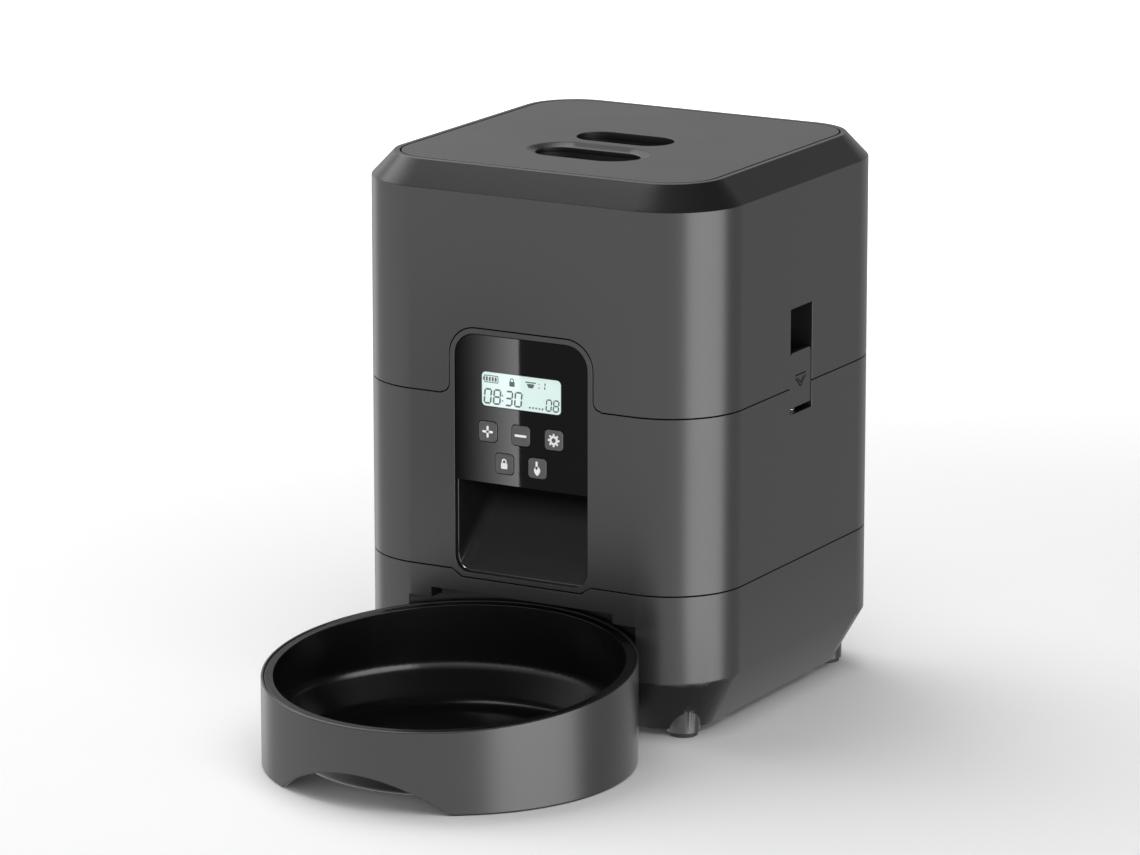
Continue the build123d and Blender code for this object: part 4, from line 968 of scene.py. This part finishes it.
@dataclass
class FrontPanel:
    """Gloss fascia with its display, five keys and their printed marks."""

    panel_round: float = 0.12 * MM
    key_round: float = 0.3 * MM
    ink: float = 0.04 * MM
    film: float = 0.03 * MM

    def build(self, shop: Workshop) -> None:
        """Rounds the panel and keys, then prints the display and the key marks."""
        shop.rounded("control_panel", self.panel_round, look=SMOKED_PANEL)
        shop.rounded("chute", self.key_round, 3)
        marks = {"button_plus": self.plus(), "button_minus": self.minus(), "button_set": self.cog(),
                 "button_lock": padlock(0.0, -2.0 * MM, 3.0 * MM, 0.55 * MM), "button_feed": self.hand()}
        for node, outlines in marks.items():
            shop.rounded(node, self.key_round, 3)
            plan = MeshPlan()
            for outline in outlines:
                plan.plate(outline, self.face(node), self.ink)
            shop.finish(plan.piece(node + "_mark"), shop.body(node), Slot.BUTTON, WHITE_INK)
        self.display(shop)

    @staticmethod
    def face(node: str) -> Place:
        """Front face of a CAD node, as a surface to draw on."""
        low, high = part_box(node)
        return Place(((low.x + high.x) / 2, low.y, (low.z + high.z) / 2), (1.0, 0.0, 0.0))

    @staticmethod
    def plus() -> list[np.ndarray]:
        """Two crossed round-ended bars."""
        long, short = 5.0 * MM, 1.0 * MM
        return [rounded_bar(0, 0, *size, 0.45 * MM) for size in ((long, short), (short, long))]

    @staticmethod
    def minus() -> list[np.ndarray]:
        """One round-ended bar."""
        return [rounded_bar(0, 0, 5.6 * MM, 1.0 * MM, 0.45 * MM)]

    @staticmethod
    def cog() -> list[np.ndarray]:
        """A cog wheel: a ring with eight short teeth."""
        teeth = []
        for step in range(8):
            a = math.radians(45 * step)
            near, far = ((r * MM * math.cos(a), r * MM * math.sin(a)) for r in (1.75, 2.75))
            teeth.append(stroke(near, far, 0.85 * MM))
        halves = [arc_band(0, 0, 1.5 * MM, 1.0 * MM, start, start + 180) for start in (0, 180)]
        return halves + teeth

    @staticmethod
    def hand() -> list[np.ndarray]:
        """A hand that points up: a finger above a palm whose half width narrows toward the wrist.

        The palm's half width is w sin(pi s)^0.6 (1 - 0.35 s), with s from the knuckles down.
        """
        s = np.linspace(0.02, 0.98, 14)
        half = 1.75 * MM * np.sin(np.pi * s) ** 0.6 * (1 - 0.35 * s)
        y = 0.9 * MM - 3.9 * MM * s
        right = np.stack([half, y], axis=-1)
        left = np.stack([-half, y], axis=-1)
        palm = np.concatenate([right[::-1], left])
        finger = rounded_bar(-0.25 * MM, 1.3 * MM, 0.95 * MM, 3.4 * MM, 0.42 * MM)
        return [palm, finger]

    def display(self, shop: Workshop) -> None:
        """Draws the display's segments: clock digits, portion digits and plain signs."""
        clock_width, clock_height, clock_line = 3.0 * MM, 5.9 * MM, 0.72 * MM
        outlines: list[np.ndarray] = []
        for shown, x in zip("08", (-17.6, -13.2)):
            outlines += digit(shown, x * MM, -5.9 * MM, clock_width, clock_height, clock_line)
        for shown, x in zip("30", (-7.6, -3.2)):
            outlines += digit(shown, x * MM, -5.9 * MM, clock_width, clock_height, clock_line)
        for y in (-4.3, -2.1):
            outlines.append(rounded_bar(-8.9 * MM, y * MM, 0.65 * MM, 0.65 * MM, 0.2 * MM))
        for shown, x in zip("08", (11.6, 15.0)):
            outlines += digit(shown, x * MM, -6.0 * MM, 2.3 * MM, 4.6 * MM, 0.6 * MM)
        outlines += digit("1", 9.4 * MM, 2.5 * MM, 1.6 * MM, 3.1 * MM, 0.55 * MM)
        outlines += self.battery() + padlock(-4.4 * MM, 2.2 * MM, 2.5 * MM, 0.4 * MM) + self.bowl_sign()
        outlines += [rounded_bar((4.0 + 1.5 * i) * MM, -5.6 * MM, 0.8 * MM, 0.8 * MM, 0.35 * MM)
                     for i in range(5)]
        plan = MeshPlan()
        for outline in outlines:
            plan.plate(outline, self.face("display_glass"), self.film)
        shop.finish(plan.piece("display_segments"), shop.body("display_glass"), Slot.DISPLAY, DISPLAY_INK)

    @staticmethod
    def battery() -> list[np.ndarray]:
        """A battery sign: a frame, a nub and four charge bars."""
        left, right, low, high, line = -17.4 * MM, -11.0 * MM, 2.9 * MM, 5.7 * MM, 0.35 * MM
        frame_bars = [stroke((left, low), (right, low), line), stroke((left, high), (right, high), line),
                      stroke((left, low), (left, high), line), stroke((right, low), (right, high), line)]
        nub = rounded_bar(left - 0.45 * MM, (low + high) / 2, 0.5 * MM, 1.3 * MM, 0.15 * MM)
        bars = [rounded_bar(left + (1.1 + 1.4 * i) * MM, (low + high) / 2, 0.9 * MM, 1.8 * MM, 0.1 * MM)
                for i in range(4)]
        return frame_bars + [nub] + bars

    @staticmethod
    def bowl_sign() -> list[np.ndarray]:
        """A food bowl sign with a colon after it."""
        rim = rounded_bar(4.4 * MM, 4.9 * MM, 5.0 * MM, 0.5 * MM, 0.2 * MM)
        cup = np.array([(2.6, 4.3), (3.3, 2.6), (5.5, 2.6), (6.2, 4.3)]) * MM
        dots = [rounded_bar(8.4 * MM, y * MM, 0.5 * MM, 0.5 * MM, 0.15 * MM) for y in (3.1, 4.7)]
        return [rim, cup, *dots]


@dataclass
class SideLatches:
    """Sliding tank latches on both sides, marked with arrows that point down, and their wound springs."""

    plate_round: float = 0.25 * MM
    line: float = 0.6 * MM
    proud: float = 0.03 * MM
    wire: float = 0.28 * MM
    travel: float = 2.0 * MM
    turns: float = 7.0

    def build(self, shop: Workshop) -> None:
        """Rounds both plates, marks them and winds their springs."""
        for side, name in ((1, "right"), (-1, "left")):
            node = "latch_" + name
            shop.rounded(node, self.plate_round)
            low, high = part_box(node)
            middle = (low + high) / 2
            face = Place((high.x if side > 0 else low.x, middle.y, middle.z), (0.0, float(side), 0.0))
            plan = MeshPlan()
            for outline in self.arrows():
                plan.plate(outline, face, self.proud)
            shop.finish(plan.piece(node + "_arrows"), shop.body(node), Slot.SHELL, LATCH_LINE)
            self.spring(shop, "latch_spring_" + name)

    def arrows(self) -> list[np.ndarray]:
        """Two nested arrow heads that point down, under a short bar."""
        outlines = []
        for half, drop, top in ((4.6, 4.2, 0.6), (2.7, 2.5, 0.4)):
            tip = (0.0, (top - drop) * MM)
            for side in (-1, 1):
                outlines.append(stroke((side * half * MM, top * MM), tip, self.line, self.line / 3))
        outlines.append(stroke((-4.6 * MM, 1.6 * MM), (4.6 * MM, 1.6 * MM), self.line))
        return outlines

    def spring(self, shop: Workshop, node: str) -> None:
        """Winds a return spring in the space of its CAD tube."""
        low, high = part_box(node)
        middle = (low + high) / 2
        radius = (high.x - low.x) / 2 - self.wire
        plan = MeshPlan()
        coil(plan, np.array([middle.x, middle.y, low.z + self.wire]), np.array([0.0, 0.0, 1.0]),
             high.z - low.z - 2 * self.wire, (radius, radius), self.turns, self.wire)
        wound = plan.piece(node + "_wound", smooth=True)
        shop.finish(wound, shop.body(node), shop.slots[node], replaced=(node,))
        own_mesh(wound)


@dataclass
class Bowl:
    """Round bowl stand and the semi-gloss dish that hangs in it."""

    stand_round: float = 0.45 * MM
    dish_round: float = 0.35 * MM
    dish_wall: float = 1.7 * MM

    def build(self, shop: Workshop) -> None:
        """Rounds the stand and the dish, and gives the dish's upper lip the stand's finish."""
        shop.rounded("bowl_stand", self.stand_round, 3)
        dish = shop.rounded("bowl_dish", self.dish_round, 3, DISH_BLACK)
        dish.data.materials.append(shop.paint.take(FINISHES[Slot.SHELL]))
        low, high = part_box("bowl_dish")
        middle, inner = (low + high) / 2, (high.x - low.x) / 2 - self.dish_wall
        for face in dish.data.polygons:
            beyond = math.hypot(face.center.x - middle.x, face.center.y - middle.y) > inner
            face.material_index = int(beyond and face.normal.z > 0.3)


@dataclass
class LidInside:
    """Soft and sprung pieces under the lid: seal, latch springs and drying sachet."""

    seal_corner: float = 15.7 * MM
    wire: float = 0.16 * MM
    travel: float = 4.0 * MM
    turns: float = 9.0
    crimp: float = 0.35 * MM

    def build(self, shop: Workshop) -> None:
        """Makes the lipped seal, winds the springs and fills the sachet."""
        self.seal(shop)
        self.springs(shop)
        self.sachet(shop)

    def seal(self, shop: Workshop) -> None:
        """Carries a two-lipped profile round the tray: point = path + outwards * x + up * z."""
        low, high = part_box("lid_seal")
        half, middle = (high.x - low.x) / 2, (low + high) / 2
        path = rounded_bar(0, 0, 2 * half, 2 * half, self.seal_corner, 14)
        step = np.roll(path, -1, axis=0) - np.roll(path, 1, axis=0)
        out = np.stack([step[:, 1], -step[:, 0]], axis=-1)
        out /= np.linalg.norm(out, axis=1, keepdims=True)
        height = high.z - low.z
        profile = np.array([(-3.9, 0.1), (-2.6, 0.0), (-1.6, 0.22), (-0.9, 0.05), (-0.15, 0.0), (0.0, 0.12),
                            (-0.15, 0.3), (-0.75, 0.42), (-0.75, 0.56), (-0.1, 0.72), (0.0, 0.9), (-0.2, 1.0),
                            (-1.2, 0.97), (-2.6, 1.0), (-3.9, 0.92)])
        ring = path[:, None] + out[:, None] * profile[None, :, :1] * MM
        rise = np.broadcast_to(low.z + profile[None, :, 1:] * height, (*ring.shape[:2], 1))
        points = np.concatenate([ring + np.array([middle.x, middle.y]), rise], axis=-1)
        plan = MeshPlan()
        plan.grid(points, wrap_rows=True)
        shop.finish(plan.piece("lid_seal_lipped", smooth=True), shop.body("lid_seal"), Slot.RUBBER,
                    replaced=("lid_seal",))

    def springs(self, shop: Workshop) -> None:
        """Winds the two springs behind the squeeze latch."""
        node = "lid_latch_springs"
        low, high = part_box(node)
        radius = (high.z - low.z) / 2
        plan = MeshPlan()
        for x in (low.x + radius, high.x - radius):
            coil(plan, np.array([x, low.y + self.wire, (low.z + high.z) / 2]), np.array([0.0, 1.0, 0.0]),
                 high.y - low.y - 2 * self.wire, (radius - self.wire, radius - self.wire), self.turns,
                 self.wire)
        wound = plan.piece("lid_latch_springs_wound", smooth=True)
        shop.finish(wound, shop.body(node), shop.slots[node], replaced=(node,))
        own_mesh(wound)

    def sachet(self, shop: Workshop) -> None:
        """Fills a round sachet: two crowned sheets that meet in a crimped rim.

        With s from the upper pole (-1) to the lower one (1), the radius is R (1 - |s|^2.2). The fill f runs
        from 0 in the outer tenth of the radius to 1 at a pole. The height is half the crimp plus
        0.93 (h - crimp) f^0.42 (1 + bead f), taken up above the rim and down below it.
        """
        low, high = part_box("desiccant_bag")
        middle, outer, half = (low + high) / 2, (high.x - low.x) / 2, (high.z - low.z) / 2
        s = np.linspace(-1, 1, 61)[:, None]
        angle = np.linspace(0, 2 * np.pi, 96, endpoint=False)[None, :]
        radius = outer * np.clip(1 - np.abs(s) ** 2.2, 0.004, 1)
        fill = np.clip((1 - radius / outer - 0.1) / 0.9, 0, 1)
        bead = 0.05 * np.sin(radius / MM * 1.9) * np.sin(9 * angle)
        bead = bead + 0.03 * np.cos(5 * angle + radius / MM)
        crown = (half - self.crimp) * 0.93 * fill ** 0.42 * (1 + bead * fill)
        height = -np.sign(s) * (self.crimp / 2 + crown)
        pucker = 1 + 0.012 * np.sin(26 * angle) * (radius / outer) ** 8 - 0.012
        reach = radius * pucker
        points = np.stack([middle.x + reach * np.cos(angle), middle.y + reach * np.sin(angle),
                           middle.z + height], axis=-1)
        plan = MeshPlan()
        plan.grid(points)
        bag = plan.piece("desiccant_sachet", smooth=True)
        uv = bag.data.uv_layers.new(name="cloth")
        corners = np.zeros(len(bag.data.loops), np.int32)
        bag.data.loops.foreach_get("vertex_index", corners)
        flat = np.array([v.co for v in bag.data.vertices])[corners][:, :2]
        uv.data.foreach_set("uv", ((flat - flat.min(0)) / (2 * outer)).ravel())
        shop.finish(bag, shop.body("desiccant_bag"), Slot.BAG, replaced=("desiccant_bag",))


@dataclass
class BatteryBay:
    """Wound contact springs at the ends of the cells."""

    wire: float = 0.45 * MM
    small: float = 0.5
    reach: float = 3.6 * MM
    turns: float = 3.5

    def build(self, shop: Workshop) -> None:
        """Winds one conical spring for each solid of the CAD node."""
        node = "battery_springs"
        low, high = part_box(node)
        radius = (high.z - low.z) / 2
        middle = (low.x + high.x) / 2
        plan = MeshPlan()
        for index, x in enumerate((low.x + radius, middle, high.x - radius)):
            forward = index % 2 == 0
            start = low.y if forward else high.y
            axis = np.array([0.0, 1.0 if forward else -1.0, 0.0])
            coil(plan, np.array([x, start + axis[1] * self.wire, (low.z + high.z) / 2]), axis,
                 self.reach - 2 * self.wire, (radius - self.wire, radius * self.small), self.turns, self.wire)
        shop.finish(plan.piece("battery_springs_wound", smooth=True), shop.body(node), Slot.CONTACT,
                    replaced=(node,))


# ---- studio ----
@dataclass
class Studio:
    """Plain pale floor, soft light and the camera."""

    camera_place: tuple[float, float, float] = (1.1687, -2.0365, 0.6935)
    camera_pitch: float = 76.036
    camera_roll: float = 0.076
    camera_yaw: float = 29.718
    lens: float = 185.35
    shift: tuple[float, float] = (0.01433, 0.02727)
    floor_half: float = 6.0
    floor_level: float = 0.86
    backdrop_span: tuple[float, float] = (0.35, 1.5)
    backdrop_glow: float = 0.9
    sky_front: float = 1.9
    sky_back: float = 0.62
    sky_seen: float = 1.05
    aim: tuple[float, float, float] = (0.0, 0.07, 0.1)
    card_edge: tuple[float, float] = (-1.0 * MM, 133.0 * MM)
    card_size: tuple[float, float] = (42.0 * MM, 95.0 * MM)
    card_reach: float = 0.3
    card_falloff: float = 1.5
    card_glow: float = 58.0

    def build(self) -> None:
        """Sets up the floor, the light and the camera."""
        self.floor()
        self.sky()
        right = self.lamp("Right softbox", (1.27, -0.2, 0.1), self.aim, (1.4, 1.4), 27.0)
        right.visible_diffuse = False
        left = self.lamp("Left softbox", (-0.88, 0.42, 0.1), self.aim, (0.35, 0.8), 0.8)
        left.visible_diffuse = False
        self.lamp("Overhead softbox", (-0.85, 0.47, 1.5), (-0.1, 0.2, 0.0), (1.5, 1.8), 28.0)
        self.lamp("Floor fill", (0.7, -0.55, 1.5), (0.2, -0.3, 0.0), (1.5, 1.5), 13.5).visible_glossy = False
        self.chute_lamp()
        self.gloss_card()
        self.camera()
        bpy.context.scene.view_settings.view_transform = "Standard"
        LOG.info("studio built")

    def floor(self) -> None:
        """Lays the floor, a plain pale sheet that is clear from below."""
        half = self.floor_half
        corners = [(-half, -half, 0), (half, -half, 0), (half, half, 0), (-half, half, 0)]
        mesh = bpy.data.meshes.new("floor")
        mesh.from_pydata(corners, [], [(0, 1, 2, 3)])
        sheet = bpy.data.objects.new("floor", mesh)
        bpy.context.scene.collection.objects.link(sheet)
        material = bpy.data.materials.new("Pale floor")
        material.use_nodes = True
        nodes = Tree(material.node_tree)
        shader = material.node_tree.nodes["Principled BSDF"]
        shader.inputs["Roughness"].default_value = 0.6
        shader.inputs["Specular IOR Level"].default_value = 0.2
        away = nodes.add("ShaderNodeVectorMath", operation="LENGTH")
        nodes.join(nodes.add("ShaderNodeTexCoord").outputs["Object"], away.inputs[0])
        seen = nodes.add("ShaderNodeLightPath").outputs["Is Camera Ray"]
        shader.inputs["Base Color"].default_value = (*grey(self.floor_level), 1.0)
        shader.inputs["Emission Color"].default_value = (*grey(1.0), 1.0)
        through = nodes.add("ShaderNodeMixShader")
        nodes.join(nodes.add("ShaderNodeNewGeometry").outputs["Backfacing"], through.inputs[0])
        nodes.join(shader.outputs[0], through.inputs[1])
        nodes.join(nodes.add("ShaderNodeBsdfTransparent").outputs[0], through.inputs[2])
        nodes.join(through.outputs[0], material.node_tree.nodes["Material Output"].inputs["Surface"])
        far = nodes.ramp(away.outputs["Value"], *self.backdrop_span, 0.0, self.backdrop_glow)
        backdrop = nodes.math("MULTIPLY", seen, far)
        nodes.join(backdrop, shader.inputs["Emission Strength"])
        sheet.visible_glossy = False
        sheet.visible_shadow = False
        mesh.materials.append(material)

    def sky(self) -> None:
        """Lights the scene from all round, brightest at the horizon, behind a white backdrop."""
        world = bpy.data.worlds.new("Studio")
        bpy.context.scene.world = world
        world.use_nodes = True
        world.node_tree.nodes.clear()
        nodes = Tree(world.node_tree)
        direction = nodes.add("ShaderNodeTexCoord").outputs["Generated"]
        parts = nodes.add("ShaderNodeSeparateXYZ")
        nodes.join(direction, parts.inputs[0])
        above = nodes.ramp(parts.outputs["Z"], 0.1, 0.7, 1.0, 0.03)
        below = nodes.ramp(parts.outputs["Z"], -1.0, -0.4, 0.1, 1.0)
        low = nodes.math("MULTIPLY", above, below)
        front = nodes.ramp(parts.outputs["Y"], -0.9, 0.6, self.sky_front, self.sky_back)
        level = nodes.math("MULTIPLY", low, front)
        seen = nodes.add("ShaderNodeLightPath").outputs["Is Camera Ray"]
        strength = nodes.math("MAXIMUM", level, nodes.math("MULTIPLY", seen, self.sky_seen))
        shader = nodes.add("ShaderNodeBackground")
        shader.inputs["Color"].default_value = (*grey(1.0), 1.0)
        nodes.join(strength, shader.inputs["Strength"])
        nodes.join(shader.outputs[0], nodes.add("ShaderNodeOutputWorld").inputs["Surface"])

    @staticmethod
    def lamp(name: str, place: tuple[float, float, float], aim: tuple[float, float, float],
             size: tuple[float, float], power: float) -> bpy.types.Object:
        """Adds a rectangular soft light.

        Args:
            name: Its name.
            place: Where its centre is.
            aim: The point it faces.
            size: Width and height.
            power: Watts.

        Returns:
            The light's object.
        """
        data = bpy.data.lights.new(name, "AREA")
        data.shape = "RECTANGLE"
        data.size, data.size_y = size
        data.energy = power
        light = bpy.data.objects.new(name, data)
        light.location = place
        light.visible_camera = False
        light.rotation_euler = (Vector(aim) - Vector(place)).to_track_quat("-Z", "Y").to_euler()
        bpy.context.scene.collection.objects.link(light)
        return light

    def chute_lamp(self) -> None:
        """Adds the lamp that shines into the chute; it lights nothing else."""
        chute = bpy.data.collections.new("Chute pieces")
        chute.objects.link(bpy.data.objects["chute_rounded"])
        lamp = self.lamp("Chute lamp", (0.0, -0.55, 0.45), (0.0, -0.01, 0.08), (0.25, 0.25), 10.0)
        lamp.light_linking.receiver_collection = chute
        lamp.light_linking.blocker_collection = chute

    def gloss_card(self) -> None:
        """Adds the graded card whose edge shows in the gloss panel; it lights only the panel's pieces."""
        panel = bpy.data.collections.new("Gloss panel pieces")
        for name in ("control_panel_rounded", "display_glass", "display_segments"):
            panel.objects.link(bpy.data.objects[name])
        low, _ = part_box("control_panel")
        eye = Vector(self.camera_place)
        edge = Vector((self.card_edge[0], low.y, self.card_edge[1]))
        ray = (edge - eye).normalized()
        ray.y = -ray.y
        centre = edge + ray * self.card_reach
        across = Vector((1.0, 0.0, 0.0))
        width, height = self.card_size
        corners = [centre + across * dx + Vector((0, 0, dz)) for dx, dz in
                   ((-width, -height / 2), (0, -height / 2), (0, height / 2), (-width, height / 2))]
        mesh = bpy.data.meshes.new("gloss_card")
        mesh.from_pydata([tuple(c) for c in corners], [], [(0, 1, 2, 3)])
        card = bpy.data.objects.new("gloss_card", mesh)
        bpy.context.scene.collection.objects.link(card)
        material = bpy.data.materials.new("Graded card")
        material.use_nodes = True
        material.node_tree.nodes.clear()
        nodes = Tree(material.node_tree)
        parts = nodes.add("ShaderNodeSeparateXYZ")
        nodes.join(nodes.add("ShaderNodeTexCoord").outputs["Object"], parts.inputs[0])
        across_card = nodes.ramp(parts.outputs["X"], centre.x - width, centre.x + width * 0.3)
        glow = nodes.math("POWER", across_card, self.card_falloff)
        shader = nodes.add("ShaderNodeEmission")
        nodes.join(nodes.math("MULTIPLY", glow, self.card_glow), shader.inputs["Strength"])
        nodes.join(shader.outputs[0], nodes.add("ShaderNodeOutputMaterial").inputs["Surface"])
        mesh.materials.append(material)
        card.visible_camera = False
        card.visible_diffuse = False
        card.visible_shadow = False
        card.light_linking.receiver_collection = panel

    def camera(self) -> None:
        """Places the camera."""
        data = bpy.data.cameras.new("camera")
        data.sensor_width = 36.0
        data.lens = self.lens
        data.shift_x, data.shift_y = self.shift
        data.clip_start, data.clip_end = 0.05, 50.0
        camera = bpy.data.objects.new("camera", data)
        camera.location = self.camera_place
        turn = (self.camera_pitch, self.camera_roll, self.camera_yaw)
        camera.rotation_euler = [math.radians(angle) for angle in turn]
        bpy.context.scene.collection.objects.link(camera)
        bpy.context.scene.camera = camera


def main() -> None:
    """Builds every sub-assembly around the frame, then the studio."""
    logging.basicConfig(level=logging.INFO, format="%(name)s: %(message)s")
    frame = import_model()
    build_groups()
    shop = Workshop(frame)
    shop.dress_nodes()
    for assembly in (Shells(), FrontPanel(), SideLatches(), Bowl(), LidInside(), BatteryBay()):
        assembly.build(shop)
        LOG.info("%s built", type(assembly).__name__)
    Studio().build()


if __name__ == "__main__":
    main()
